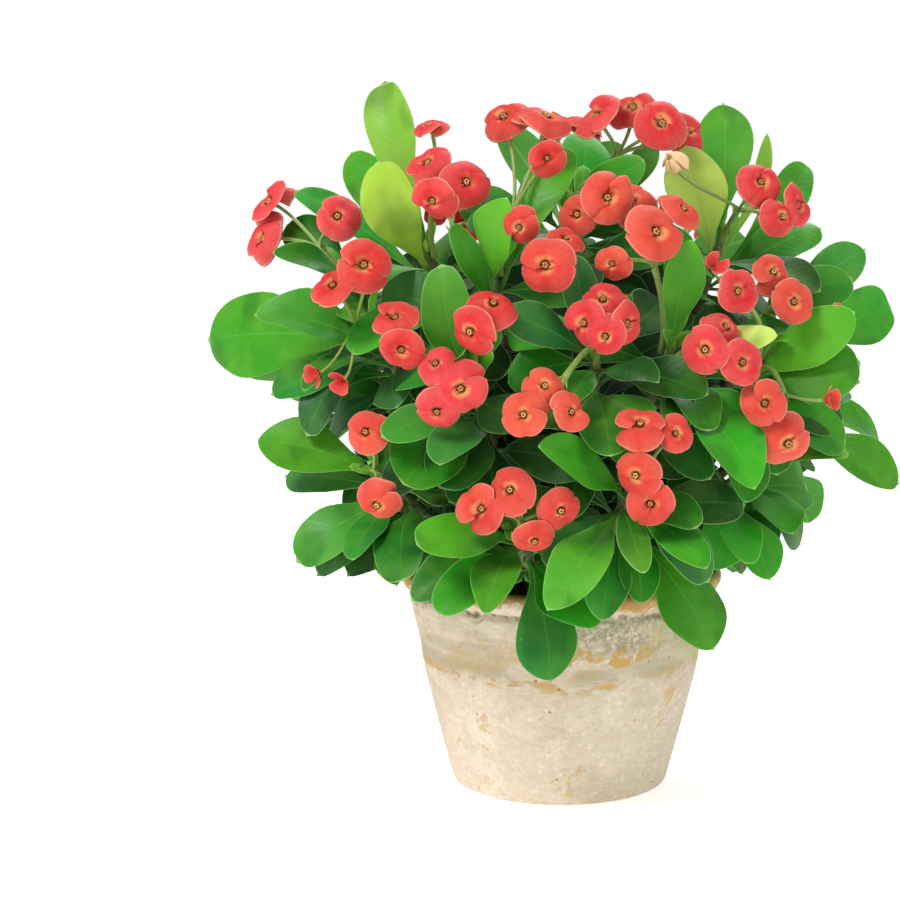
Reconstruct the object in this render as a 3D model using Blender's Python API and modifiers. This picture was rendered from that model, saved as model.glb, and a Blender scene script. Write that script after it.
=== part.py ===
"""A crown-of-thorns euphorbia in a flared clay pot.

The origin is the middle of the pot's underside, +Z is up and -Y is the plant's front. Woody
stems stand in sockets in the soil. Each ends in leafy shoots, and forked flower stalks start
beside the shoots. The plant's places are in millimetres in the tables, times MM.
"""

import itertools
import math

import bmesh
import bpy
import numpy as np
from mathutils import Matrix, Quaternion, Vector
from mathutils.bvhtree import BVHTree

MM = 0.001
GAP = 0.0003

# Pot
POT_HEIGHT = 0.135
POT_RIM_RADIUS = 0.100
POT_BASE_RADIUS = 0.067
POT_WALL = 0.008
POT_FLOOR = 0.009
POT_HOLE_RADIUS = 0.009
COLLAR_HEIGHT = 0.078
COLLAR_RADIUS = 0.0865
COLLAR_TOP_RADIUS = 0.0945
COLLAR_STEP = 0.0010
LIP_HEIGHT = 0.121
GROOVE_DEPTH = 0.0012
POT_SIDES = 32

# Soil
SOIL_TOP = 0.119
SOIL_MOUND = 0.005

# Woody stems
ROOT_DEPTH = 0.088
FORK_HEIGHT = 0.128
FORK_STEP = 0.005
BRANCH_RISE = 0.50
BRANCH_ENTRY = 0.35
STEM_RADIUS = 0.0062
BRANCH_RADIUS = 0.0050
BRANCH_END_RADIUS = 0.0034
BRANCH_POINTS = 4
BRANCH_CAP = 0.004
THORN_LENGTH = 0.008
THORN_RADIUS = 0.0016
THORNS_PER_BRANCH = 3

# Leafy shoots
SHOOT_LENGTH = 0.045
SHOOT_RADIUS = 0.0032
SHOOT_TIP_RADIUS = 0.0020
SHOOT_FOCUS = Vector((0, 0, 0.140))
SHOOT_RISE = 0.35

# Leaves
LEAF_STATIONS = (0.0, 0.22, 0.50, 0.80)
LEAF_THICKNESS = 0.0016
PETIOLE_HALF_WIDTH = 0.0013
LEAF_BREADTH = 1.12
LEAF_FOLD = 0.22
LEAF_ARCH = 0.10
LEAF_CLEARANCE = 0.0005
BLADE_START = 1
RULE_LENGTH = 0.072
RULE_WIDTH = 0.033
GOLDEN_ANGLE = math.radians(137.5)
SPACE_LOW = Vector((-0.2165, -0.2165, 0.050))
SPACE_HIGH = Vector((0.2165, 0.2165, 0.4325))
SWINGS = (0, 6, -6, 12, -12, 18, -18, 26, -26, 34, -34)
LIFTS = (0, 6, -6, 12, -12, 20, -20)
SCALES = (1.0, 0.88, 0.75)

# Flower sprays
STALK_RADIUS = 0.0013
STALK_STEP = 0.14
HEAD_STALK_RADIUS = 0.0008
HEAD_DEPTH = 0.005
HEAD_NECK = 0.0022
HEAD_CUP = 0.0030
HEAD_DISH = 0.0020
HEAD_OVAL = 0.88
HEAD_SIDES = 6
HEAD_SPLAY = 0.45
FLOWER_FOCUS = Vector((0, 0, 0.200))

# Each stem: its place in the soil and the shoots that it carries.
STEMS = {
    "woody_stem_1": ((-36, -16), ("03", "04", "02", "24")),
    "woody_stem_2": ((-6, -42), ("10", "05", "11", "06")),
    "woody_stem_3": ((38, -20), ("09", "08", "07", "15")),
    "woody_stem_4": ((30, 32), ("20", "19", "23", "25")),
    "woody_stem_5": ((-30, 32), ("16", "17", "22", "18")),
    "woody_stem_6": ((2, 2), ("21", "12", "13", "14", "01")),
}

# Each shoot: its growing tip, its leaves as (tip x, y, z, width, roll in degrees), and how many
# more leaves follow round its axis by rule.
SHOOTS = {
    "01": ((-78, -62, 332), [(-105, -40, 431, 30, 0), (-95, -78, 393, 30, 10), (-128, -10, 390, 24, 0),
                             (-165, -20, 367, 20, 15)], 2),
    "02": ((-125, -15, 315), [(-175, 0, 345, 26, 0), (-172, -45, 332, 18, 0)], 3),
    "03": ((-110, -62, 288), [(-215, -20, 277, 46, 10), (-177, -88, 298, 30, 0), (-170, -70, 250, 30, 0),
                              (-146, -115, 258, 20, 0)], 2),
    "04": ((-105, -85, 205), [(-177, -85, 225, 34, 0), (-165, -50, 198, 24, 0), (-152, -100, 156, 30, 0),
                              (-116, -128, 157, 24, 0), (-88, -145, 155, 30, 0)], 1),
    "05": ((-50, -118, 262), [(-28, -165, 292, 26, 0), (-80, -150, 316, 26, 0), (-97, -168, 248, 22, 0),
                              (-65, -186, 236, 26, 0), (-86, -165, 213, 38, 0)], 1),
    "06": ((20, -125, 288), [(5, -150, 337, 20, 0), (-32, -150, 305, 24, 0), (0, -180, 273, 16, 0),
                             (52, -165, 270, 18, 0), (27, -180, 232, 28, 0)], 1),
    "07": ((60, -110, 280), [(72, -140, 355, 24, 0), (62, -160, 240, 18, 0), (112, -140, 240, 22, 0),
                             (107, -170, 222, 32, 0)], 1),
    "08": ((115, -75, 272), [(117, -148, 294, 14, 0), (150, -115, 302, 28, 0), (172, -25, 249, 26, 0),
                             (163, -85, 287, 34, 0)], 1),
    "09": ((108, -70, 208), [(168, -62, 216, 16, 0), (132, -110, 177, 28, 0), (122, -85, 145, 28, 0),
                             (103, -135, 165, 24, 0)], 2),
    "10": ((38, -135, 205), [(-12, -188, 238, 26, 0), (73, -175, 192, 24, 0), (45, -200, 180, 16, 0),
                             (-8, -205, 162, 27, 0), (78, -190, 173, 22, 0), (86, -142, 117, 34, 0),
                             (55, -150, 130, 24, 0), (23, -165, 138, 24, 0)], 0),
    "11": ((-25, -132, 180), [(-77, -188, 184, 27, 0), (-40, -192, 147, 24, 0), (-66, -172, 142, 26, 0),
                              (-82, -155, 146, 26, 0), (-5, -140, 97, 32, 0)], 1),
    "12": ((-40, -85, 322), [(-20, -118, 372, 26, 0), (-14, -75, 400, 24, 0), (-62, -112, 352, 14, 0)], 2),
    "13": ((5, -30, 355), [(14, 12, 402, 28, 0), (46, -75, 387, 22, 0), (56, 15, 397, 16, 0)], 3),
    "14": ((95, -15, 338), [(96, 0, 419, 32, 10), (81, -65, 395, 32, 0), (121, 22, 401, 12, 0),
                            (150, 32, 382, 22, 0), (155, -5, 345, 28, 0)], 1),
    "15": ((125, -25, 300), [(182, -5, 332, 24, 0), (172, -20, 316, 26, 0), (203, 28, 295, 32, 0)], 2),
    "16": ((-120, 70, 240), [(-205, 75, 250, 34, 0), (-180, 112, 215, 32, 0), (-165, 45, 185, 32, 0)], 4),
    "17": ((-75, 105, 300), [(-115, 150, 335, 30, 0), (-70, 182, 318, 30, 0)], 5),
    "18": ((-5, 125, 275), [(0, 207, 270, 34, 0), (-45, 190, 285, 30, 0), (38, 192, 250, 30, 0)], 4),
    "19": ((70, 110, 300), [(115, 150, 330, 30, 0), (75, 182, 322, 30, 0)], 5),
    "20": ((140, 60, 225), [(209, 95, 200, 28, 0), (215, 50, 180, 32, 0), (188, 122, 258, 30, 0),
                            (165, 150, 222, 30, 0)], 3),
    "21": ((0, 60, 350), [(-30, 95, 410, 28, 0), (35, 95, 405, 28, 0)], 5),
    "22": ((-60, 130, 200), [(-110, 180, 185, 32, 0), (-75, 168, 122, 30, 0), (-20, 165, 130, 32, 0)], 3),
    "23": ((60, 135, 200), [(110, 180, 185, 32, 0), (62, 172, 115, 30, 0), (25, 192, 160, 30, 0)], 3),
    "24": ((-108, 18, 185), [(-162, 55, 188, 32, 0), (-150, 15, 138, 32, 0), (-178, 5, 195, 28, 0),
                             (-118, 62, 128, 30, 0)], 3),
    "25": ((104, 12, 175), [(138, 35, 150, 30, 0), (112, 65, 118, 30, 0), (132, -32, 158, 28, 0),
                            (98, -15, 112, 30, 0)], 3),
}

# Each flower spray: its shoot, where its stalk forks (share of the way out), and its heads as
# (x, y, z, width).
SPRAYS = {
    "01": ("02", 0.35, [(-183, -2, 338, 30), (-180, 2, 360, 30), (-130, -78, 355, 28)]),
    "02": ("03", 0.35, [(-111, -122, 330, 34), (-129, -118, 318, 32), (-137, -112, 268, 14),
                        (-122, -125, 266, 14)]),
    "03": ("01", 0.60, [(-76, -102, 386, 30), (-54, -116, 376, 32), (-72, -126, 366, 30),
                        (-77, -72, 407, 24)]),
    "04": ("12", 0.40, [(-34, -78, 412, 28), (-10, -84, 412, 28), (-9, -112, 389, 24), (-24, -135, 352, 26)]),
    "05": ("13", 0.60, [(24, -132, 368, 34), (8, -116, 358, 28)]),
    "06": ("07", 0.60, [(50, -146, 350, 36), (66, -128, 362, 28), (38, -118, 366, 26), (27, -150, 333, 22)]),
    "07": ("06", 0.60, [(-9, -162, 333, 32), (2, -140, 346, 26)]),
    "08": ("13", 0.55, [(19, -62, 412, 30), (40, -50, 417, 30), (56, -74, 408, 30), (72, -52, 404, 28)]),
    "09": ("14", 0.45, [(112, -84, 375, 30), (134, -74, 362, 30), (124, -92, 356, 28), (59, -100, 390, 24)]),
    "10": ("08", 0.70, [(95, -146, 318, 30), (82, -140, 330, 14)]),
    "11": ("15", 0.45, [(119, -98, 325, 26), (130, -104, 309, 30), (160, -62, 296, 22)]),
    "12": ("07", 0.60, [(77, -166, 288, 32), (97, -162, 281, 32), (89, -150, 299, 28)]),
    "13": ("08", 0.60, [(110, -156, 258, 32), (124, -150, 235, 34), (145, -132, 257, 14)]),
    "14": ("10", 0.50, [(42, -184, 250, 30), (61, -178, 244, 24), (40, -189, 223, 30), (48, -184, 207, 30)]),
    "15": ("06", 0.65, [(-20, -188, 255, 28), (-9, -184, 270, 26), (5, -190, 257, 28)]),
    "16": ("06", 0.60, [(12, -176, 303, 30), (22, -168, 315, 30), (34, -175, 303, 30), (23, -184, 297, 26)]),
    "17": ("05", 0.65, [(-37, -170, 313, 32), (-49, -176, 298, 32)]),
    "18": ("05", 0.65, [(-91, -154, 303, 30), (-87, -162, 287, 28)]),
    "19": ("05", 0.60, [(-68, -170, 280, 28), (-54, -180, 268, 32), (-67, -177, 255, 28)]),
    "20": ("04", 0.40, [(-107, -160, 241, 30), (-101, -162, 201, 30)]),
    "21": ("11", 0.50, [(-42, -183, 203, 30), (-27, -188, 214, 30), (-14, -190, 187, 28),
                        (0, -187, 203, 30)]),
    "22": ("16", 0.60, [(-180, 95, 275, 30), (-168, 115, 290, 30)]),
    "23": ("17", 0.60, [(-85, 165, 350, 30), (-65, 172, 338, 30), (-75, 150, 364, 26)]),
    "24": ("18", 0.60, [(-12, 190, 305, 32), (12, 188, 312, 30)]),
    "25": ("19", 0.60, [(78, 168, 352, 30), (98, 160, 340, 30)]),
    "26": ("20", 0.60, [(180, 108, 272, 30), (166, 128, 285, 30)]),
    "27": ("21", 0.60, [(-8, 112, 402, 30), (14, 104, 408, 30), (4, 126, 388, 28)]),
}

CLAY = ((0.80, 0.68, 0.52), 0.85)
EARTH = ((0.05, 0.035, 0.025), 0.95)
BARK = ((0.20, 0.17, 0.11), 0.80)
LEAF_GREEN = ((0.045, 0.24, 0.03), 0.42)
BRACT_RED = ((0.78, 0.07, 0.06), 0.50)


def clear_scene():
    """Take away what the start-up scene holds."""
    for old in list(bpy.data.objects):
        bpy.data.objects.remove(old, do_unlink=True)


def new_collection(name):
    collection = bpy.data.collections.new(name)
    bpy.context.scene.collection.children.link(collection)
    return collection


def finish(obj, look):
    """Give an object a Principled material of its own."""
    colour, roughness = look
    material = bpy.data.materials.new(obj.name)
    material.use_nodes = True
    shader = material.node_tree.nodes["Principled BSDF"]
    shader.inputs["Base Color"].default_value = (*colour, 1.0)
    shader.inputs["Roughness"].default_value = roughness
    shader.inputs["Metallic"].default_value = 0.0
    obj.data.materials.clear()
    obj.data.materials.append(material)


def to_metres(place):
    return Vector(place) * MM


def evaluated_mesh(obj):
    """The object's mesh after its modifiers, or a curve's tube, as a mesh of its own."""
    depsgraph = bpy.context.evaluated_depsgraph_get()
    depsgraph.update()
    return bpy.data.meshes.new_from_object(obj.evaluated_get(depsgraph))


def joined(name, solids, collection):
    """One object: the Boolean union of closed solids that reach into each other."""
    first, *rest = solids
    first.name = name
    if rest:
        others = new_collection(f"joined_{name}")
        for solid in rest:
            collection.objects.unlink(solid)
            others.objects.link(solid)
        union = first.modifiers.new("union", "BOOLEAN")
        union.operation = "UNION"
        union.operand_type = "COLLECTION"
        union.collection = others
        union.solver = "EXACT"
        mesh = evaluated_mesh(first)
        first.modifiers.clear()
        first.data = mesh
        for solid in rest:
            bpy.data.objects.remove(solid, do_unlink=True)
        bpy.data.collections.remove(others)
    first.data.name = name
    return first


def turned(name, profile, collection):
    """A turned piece: a closed (radius, height) profile carried round Z by a Screw modifier."""
    mesh = bpy.data.meshes.new(name)
    edges = [(i, (i + 1) % len(profile)) for i in range(len(profile))]
    mesh.from_pydata([(radius, 0.0, height) for radius, height in profile], edges, [])
    obj = bpy.data.objects.new(name, mesh)
    collection.objects.link(obj)
    screw = obj.modifiers.new("turn", "SCREW")
    screw.steps = POT_SIDES
    screw.render_steps = POT_SIDES
    screw.use_merge_vertices = True
    screw.merge_threshold = 0.0001
    return obj


def wall_radius(height):
    """The pot's inner radius at a height: the outer taper less the wall."""
    taper = (COLLAR_RADIUS - COLLAR_STEP - POT_BASE_RADIUS) / COLLAR_HEIGHT
    return POT_BASE_RADIUS + taper * height - POT_WALL


def make_pot(collection):
    lip = POT_HEIGHT - LIP_HEIGHT
    profile = [
        (POT_RIM_RADIUS - 0.0030, POT_HEIGHT),
        (POT_RIM_RADIUS - 0.0008, POT_HEIGHT - 0.0012),
        (POT_RIM_RADIUS, POT_HEIGHT - 0.0040),
        (POT_RIM_RADIUS - 0.0005, POT_HEIGHT - 0.0075),
        (COLLAR_TOP_RADIUS + 0.0005, LIP_HEIGHT + 0.12 * lip),
        (COLLAR_TOP_RADIUS - GROOVE_DEPTH, LIP_HEIGHT),
        (COLLAR_TOP_RADIUS, LIP_HEIGHT - 0.0025),
        (COLLAR_RADIUS, COLLAR_HEIGHT + 0.0030),
        (COLLAR_RADIUS - COLLAR_STEP, COLLAR_HEIGHT),
        (POT_BASE_RADIUS + 0.0008, 0.0030),
        (POT_BASE_RADIUS - 0.0020, 0.0),
        (POT_HOLE_RADIUS, 0.0),
        (POT_HOLE_RADIUS, POT_FLOOR),
        (wall_radius(POT_FLOOR), POT_FLOOR),
        (wall_radius(LIP_HEIGHT), LIP_HEIGHT),
        (POT_RIM_RADIUS - POT_WALL - 0.0015, POT_HEIGHT - 0.0020),
        (POT_RIM_RADIUS - POT_WALL, POT_HEIGHT),
    ]
    pot = turned("pot", profile, collection)
    finish(pot, CLAY)


def make_soil(collection, cutters):
    bottom = POT_FLOOR + GAP
    profile = [
        (0.0, SOIL_TOP + SOIL_MOUND),
        (0.035, SOIL_TOP + 0.8 * SOIL_MOUND),
        (0.070, SOIL_TOP + 0.2 * SOIL_MOUND),
        (wall_radius(SOIL_TOP) - GAP, SOIL_TOP),
        (wall_radius(bottom) - GAP, bottom),
        (0.0, bottom),
    ]
    soil = turned("soil", profile, collection)
    for name, (place, _) in STEMS.items():
        top = SOIL_TOP + 3 * SOIL_MOUND
        depth = top - ROOT_DEPTH
        bpy.ops.mesh.primitive_cylinder_add(
            vertices=12, radius=STEM_RADIUS + 4 * GAP, depth=depth + 2 * GAP,
            location=(place[0] * MM, place[1] * MM, ROOT_DEPTH + depth / 2),
        )
        socket = bpy.context.object
        socket.name = f"socket_{name}"
        socket.hide_render = True
        socket.display_type = "WIRE"
        for home in socket.users_collection:
            home.objects.unlink(socket)
        cutters.objects.link(socket)
        cut = soil.modifiers.new(socket.name, "BOOLEAN")
        cut.operation = "DIFFERENCE"
        cut.object = socket
        cut.solver = "EXACT"
    finish(soil, EARTH)


def tube(name, points, radii, resolution, collection):
    """A closed tube along points, as a mesh: a poly curve with a bevel, its caps welded on."""
    curve = bpy.data.curves.new(name, "CURVE")
    curve.dimensions = "3D"
    curve.bevel_depth = radii[0]
    curve.bevel_resolution = resolution
    curve.use_fill_caps = True
    spline = curve.splines.new("POLY")
    spline.points.add(len(points) - 1)
    for spot, place, radius in zip(spline.points, points, radii):
        spot.co = (*place, 1.0)
        spot.radius = radius / radii[0]
    guide = bpy.data.objects.new(name, curve)
    collection.objects.link(guide)
    mesh = evaluated_mesh(guide)
    bpy.data.objects.remove(guide, do_unlink=True)
    shell = bmesh.new()
    shell.from_mesh(mesh)
    bmesh.ops.remove_doubles(shell, verts=shell.verts, dist=0.00001)
    bmesh.ops.recalc_face_normals(shell, faces=shell.faces)
    shell.to_mesh(mesh)
    shell.free()
    obj = bpy.data.objects.new(name, mesh)
    collection.objects.link(obj)
    return obj


def bezier(start, handle_a, handle_b, end, count):
    """Points along a cubic Bezier curve."""
    shares = [i / (count - 1) for i in range(count)]
    return [
        (1 - t) ** 3 * start + 3 * (1 - t) ** 2 * t * handle_a + 3 * (1 - t) * t**2 * handle_b + t**3 * end
        for t in shares
    ]


def shoot_axis(shoot):
    """Where a leafy shoot starts, where it ends, and its direction."""
    tip = to_metres(SHOOTS[shoot][0])
    axis = (tip - SHOOT_FOCUS).normalized() + Vector((0, 0, SHOOT_RISE))
    axis.normalize()
    return tip - axis * SHOOT_LENGTH, tip, axis


def thorn(place, direction, collection):
    """A slim four-sided thorn that stands on a branch's axis and points outwards."""
    reach = BRANCH_RADIUS + THORN_LENGTH
    bpy.ops.mesh.primitive_cone_add(
        vertices=4, radius1=THORN_RADIUS, radius2=0.0, depth=reach,
        location=place + direction * reach / 2,
        rotation=direction.to_track_quat("Z", "Y").to_euler(),
    )
    obj = bpy.context.object
    for home in obj.users_collection:
        home.objects.unlink(obj)
    collection.objects.link(obj)
    return obj


def branch_path(root, shoot):
    """A branch's axis: up from its root, then over, and square on to its shoot's end."""
    start, _, axis = shoot_axis(shoot)
    end = start - axis * 2 * GAP
    last = end - axis * BRANCH_CAP
    span = (last - root).length
    rise = root + Vector((0, 0, BRANCH_RISE * span))
    return [*bezier(root, rise, last - axis * BRANCH_ENTRY * span, last, BRANCH_POINTS), end]


def at_height(path, height):
    """The first point on a rising path at a height."""
    low, high = next((a, b) for a, b in zip(path, path[1:]) if b.z > height)
    return low.lerp(high, (height - low.z) / (high.z - low.z))


def make_stem(name, place, shoots, collection):
    """A trunk that carries on into its first branch, with the other branches let into it."""
    root = Vector((place[0] * MM, place[1] * MM, ROOT_DEPTH))
    ground = Vector((root.x, root.y, FORK_HEIGHT))
    trunk = [root, *branch_path(ground, shoots[0])]
    solids = []
    for order, shoot in enumerate(shoots):
        path = branch_path(at_height(trunk, FORK_HEIGHT + FORK_STEP * order), shoot) if order else trunk
        thick = BRANCH_RADIUS if order else STEM_RADIUS
        radii = np.linspace(thick, BRANCH_END_RADIUS, len(path))
        solids.append(tube(f"{name}_{shoot}", path, radii, 1, collection))
        for i in range(THORNS_PER_BRANCH):
            low = len(path) - 4 + i % 2
            spot = path[low].lerp(path[low + 1], 0.3 + 0.2 * i)
            along = (path[low + 1] - path[low]).normalized()
            side = along.orthogonal().normalized()
            side.rotate(Quaternion(along, (order * THORNS_PER_BRANCH + i) * GOLDEN_ANGLE))
            solids.append(thorn(spot, (side + 0.3 * along).normalized(), collection))
    stem = joined(name, solids, collection)
    finish(stem, BARK)
    return stem


def leaf_frame(base, tip, roll):
    """A leaf's length and its three directions: along, across, and out of its upper face."""
    chord = tip - base
    along = chord.normalized()
    middle = (base + tip) / 2
    outward = Vector((middle.x, middle.y, 0.0)).normalized() * 0.6
    lean = 0.5 * max(-1.0, min(1.0, (middle.y - 0.02) / 0.04))
    face = outward + Vector((0.0, lean, 0.7))
    face -= along * face.dot(along)
    face.normalize()
    face.rotate(Quaternion(along, math.radians(roll)))
    return chord.length, along, along.cross(face), face


def half_width(share, width):
    """Half a leaf's width at a share of its length: a wedge at the base, widest past the middle."""
    swell = math.sin(math.pi * share**1.45) ** (1.10 - 0.55 * share)
    return max(PETIOLE_HALF_WIDTH * (1.0 - share), width / 2 * swell)


def leaf_rings(base, tip, width, roll, spare):
    """Four-point sections along a leaf: left edge, top of the rib, right edge, underside."""
    length, along, across, face = leaf_frame(base, tip, roll)
    rings = []
    for share in LEAF_STATIONS:
        half = half_width(share, width) + spare
        rib = base + along * length * share + face * (LEAF_ARCH * length * 4 * share * (1 - share))
        thick = LEAF_THICKNESS * (1.3 - 0.5 * share) / 2 + spare
        edge = face * LEAF_FOLD * half
        left, right = (rib + side * across * half + edge for side in (-1, 1))
        rings.append((left, rib + face * thick, right, rib - face * thick))
    return rings


def leaf_solid(rings, tip):
    """A closed leaf lofted through its sections to its point: corners and faces."""
    corners = [corner for ring in rings for corner in ring] + [tip]
    faces = [(3, 2, 1, 0)]
    for i, side in itertools.product(range(len(rings) - 1), range(4)):
        a = 4 * i + side
        b = 4 * i + (side + 1) % 4
        faces.append((a, b, b + 4, a + 4))
    last = 4 * (len(rings) - 1)
    faces += [(last + side, last + (side + 1) % 4, len(corners) - 1) for side in range(4)]
    return corners, faces


def nudges():
    """The small turns and cuts in length that a leaf may take, the least first."""
    every = itertools.product(SWINGS, LIFTS, SCALES)
    return sorted(every, key=lambda n: abs(n[0]) + abs(n[1]) + 70 * (1 - n[2]))


def nudged(base, tip, swing, lift, scale):
    """A leaf's tip after a turn about the upright, a turn up or down, and a cut in length."""
    chord = tip - base
    chord.rotate(Quaternion(Vector((0, 0, 1)), math.radians(swing)))
    level = Vector((chord.y, -chord.x, 0.0)).normalized()
    chord.rotate(Quaternion(level, math.radians(lift)))
    return base + chord * scale


def corners_and_faces(mesh):
    return [v.co.copy() for v in mesh.vertices], [tuple(p.vertices) for p in mesh.polygons]


class Room:
    """What already stands in the plant, to test whether a new leaf would clear it."""

    def __init__(self):
        self.taken = []

    def add(self, node, corners, faces):
        points = np.array(corners)
        tree = BVHTree.FromPolygons(corners, faces)
        self.taken.append((node, points.min(0), points.max(0), tree))

    def add_object(self, obj):
        mesh = evaluated_mesh(obj)
        self.add(obj.name, *corners_and_faces(mesh))
        bpy.data.meshes.remove(mesh)

    def is_clear(self, corners, faces, choose):
        """Whether a solid misses every piece whose node the test takes in."""
        points = np.array(corners)
        low, high = points.min(0), points.max(0)
        tree = BVHTree.FromPolygons(corners, faces)
        return not any(
            choose(node) and (low < other_high).all() and (other_low < high).all() and tree.overlap(other)
            for node, other_low, other_high, other in self.taken
        )


def place_leaf(node, base, aim, width, roll, room):
    """The first nudge of a leaf that clears the rest of the plant, or None."""
    for swing, lift, scale in nudges():
        tip = nudged(base, aim, swing, lift, scale)
        wide = width * LEAF_BREADTH * scale
        rings = leaf_rings(base, tip, wide, roll, LEAF_CLEARANCE)
        whole = leaf_solid(rings, tip)
        points = np.array(whole[0])
        if (points < np.array(SPACE_LOW)).any() or (points > np.array(SPACE_HIGH)).any():
            continue
        blade = leaf_solid(rings[BLADE_START:], tip)
        others_clear = room.is_clear(*whole, lambda other: other != node)
        if others_clear and room.is_clear(*blade, lambda other: other == node):
            return leaf_solid(leaf_rings(base, tip, wide, roll, 0.0), tip)
    return None


def leaf_base(shoot, order, count):
    """Where on its shoot's axis a leaf starts: the first leaves near the growing tip."""
    start, tip, _ = shoot_axis(shoot)
    return tip.lerp(start, 0.14 + 0.78 * (order + 0.5) / count)


def rule_leaf(shoot, order, base):
    """The aim and width of a leaf that follows the golden angle round its shoot."""
    _, _, axis = shoot_axis(shoot)
    side = axis.orthogonal().normalized()
    side.rotate(Quaternion(axis, order * GOLDEN_ANGLE + 0.7 * int(shoot)))
    spread = 0.35 - 0.12 * order
    length = RULE_LENGTH * (1.0 + 0.07 * (order % 3))
    aim = base + (side + axis * spread).normalized() * length
    return aim, RULE_WIDTH


def shoot_leaves(shoot):
    """Every leaf of a shoot, set by hand or by rule: base, aim, width, roll."""
    _, by_hand, more = SHOOTS[shoot]
    count = len(by_hand) + more
    leaves = []
    for order, (x, y, z, width, roll) in enumerate(by_hand):
        leaves.append((leaf_base(shoot, order, count), to_metres((x, y, z)), width * MM, roll))
    for order in range(more):
        base = leaf_base(shoot, len(by_hand) + order, count)
        leaves.append((base, *rule_leaf(shoot, order, base), 0))
    return leaves


def mesh_object(name, corners, faces, collection):
    mesh = bpy.data.meshes.new(name)
    mesh.from_pydata(corners, [], faces)
    shell = bmesh.new()
    shell.from_mesh(mesh)
    bmesh.ops.recalc_face_normals(shell, faces=shell.faces)
    bmesh.ops.triangulate(shell, faces=shell.faces)
    shell.to_mesh(mesh)
    shell.free()
    obj = bpy.data.objects.new(name, mesh)
    collection.objects.link(obj)
    return obj


def shoot_core(shoot, collection):
    start, tip, axis = shoot_axis(shoot)
    points = [start, tip, tip + axis * 0.003]
    radii = [SHOOT_RADIUS, SHOOT_TIP_RADIUS, SHOOT_TIP_RADIUS * 0.4]
    return tube(f"shoot_{shoot}", points, radii, 0, collection)


def make_shoots(collection, room):
    """Every leafy shoot: its cores first, then the leaves set by hand, then those by rule."""
    cores = {}
    for shoot in SHOOTS:
        cores[shoot] = shoot_core(shoot, collection)
        room.add(f"leafy_shoot_{shoot}", *corners_and_faces(cores[shoot].data))
    solids = {shoot: [core] for shoot, core in cores.items()}
    for by_rule in (False, True):
        for shoot, (_, by_hand, _) in SHOOTS.items():
            for order, leaf in enumerate(shoot_leaves(shoot)):
                if (order >= len(by_hand)) != by_rule:
                    continue
                node = f"leafy_shoot_{shoot}"
                placed = place_leaf(node, *leaf, room)
                if placed is None:
                    print(f"no room for leaf {order} of shoot {shoot}")
                    continue
                room.add(node, *placed)
                solids[shoot].append(mesh_object(f"leaf_{shoot}_{order}", *placed, collection))
    for shoot, parts in solids.items():
        finish(joined(f"leafy_shoot_{shoot}", parts, collection), LEAF_GREEN)


def head_facing(place, middle):
    """Which way a flower head looks: out from the plant, and away from its spray's middle."""
    facing = (place - FLOWER_FOCUS).normalized()
    away = place - middle
    if away.length > 0.001:
        facing += away.normalized() * HEAD_SPLAY
    return facing.normalized()


def head_solid(name, place, facing, width, fork, collection):
    """A flower head: a shallow oval dish with a sunk middle, its neck drawn out to the fork."""
    shell = bmesh.new()
    depth = HEAD_DEPTH * min(1.0, width / (20 * MM))
    bmesh.ops.create_cone(
        shell, cap_ends=True, cap_tris=False, segments=HEAD_SIDES,
        radius1=HEAD_NECK, radius2=width / 2, depth=depth,
    )
    top = max(shell.faces, key=lambda face: face.calc_center_median().z)
    bmesh.ops.inset_region(shell, faces=[top], thickness=width / 2 - HEAD_CUP)
    for corner in top.verts:
        corner.co.z -= HEAD_DISH * width / (30 * MM)
    turn = facing.to_track_quat("Z", "Y").to_matrix().to_4x4()
    shape = Matrix.Diagonal((1.0, HEAD_OVAL, 1.0, 1.0))
    bmesh.ops.transform(shell, matrix=Matrix.Translation(place) @ turn @ shape, verts=shell.verts)
    neck = place - facing * depth / 2
    bottom = min(shell.faces, key=lambda face: (face.calc_center_median() - neck).length)
    drawn = bmesh.ops.extrude_face_region(shell, geom=[bottom])["geom"]
    bmesh.ops.delete(shell, geom=[bottom], context="FACES_ONLY")
    end = [item for item in drawn if isinstance(item, bmesh.types.BMVert)]
    turn = facing.rotation_difference((neck - fork).normalized())
    for corner in end:
        offset = (corner.co - neck) * HEAD_STALK_RADIUS / HEAD_NECK
        offset.rotate(turn)
        corner.co = fork + offset
    mesh = bpy.data.meshes.new(name)
    bmesh.ops.recalc_face_normals(shell, faces=shell.faces)
    shell.to_mesh(mesh)
    shell.free()
    obj = bpy.data.objects.new(name, mesh)
    collection.objects.link(obj)
    return obj


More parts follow.
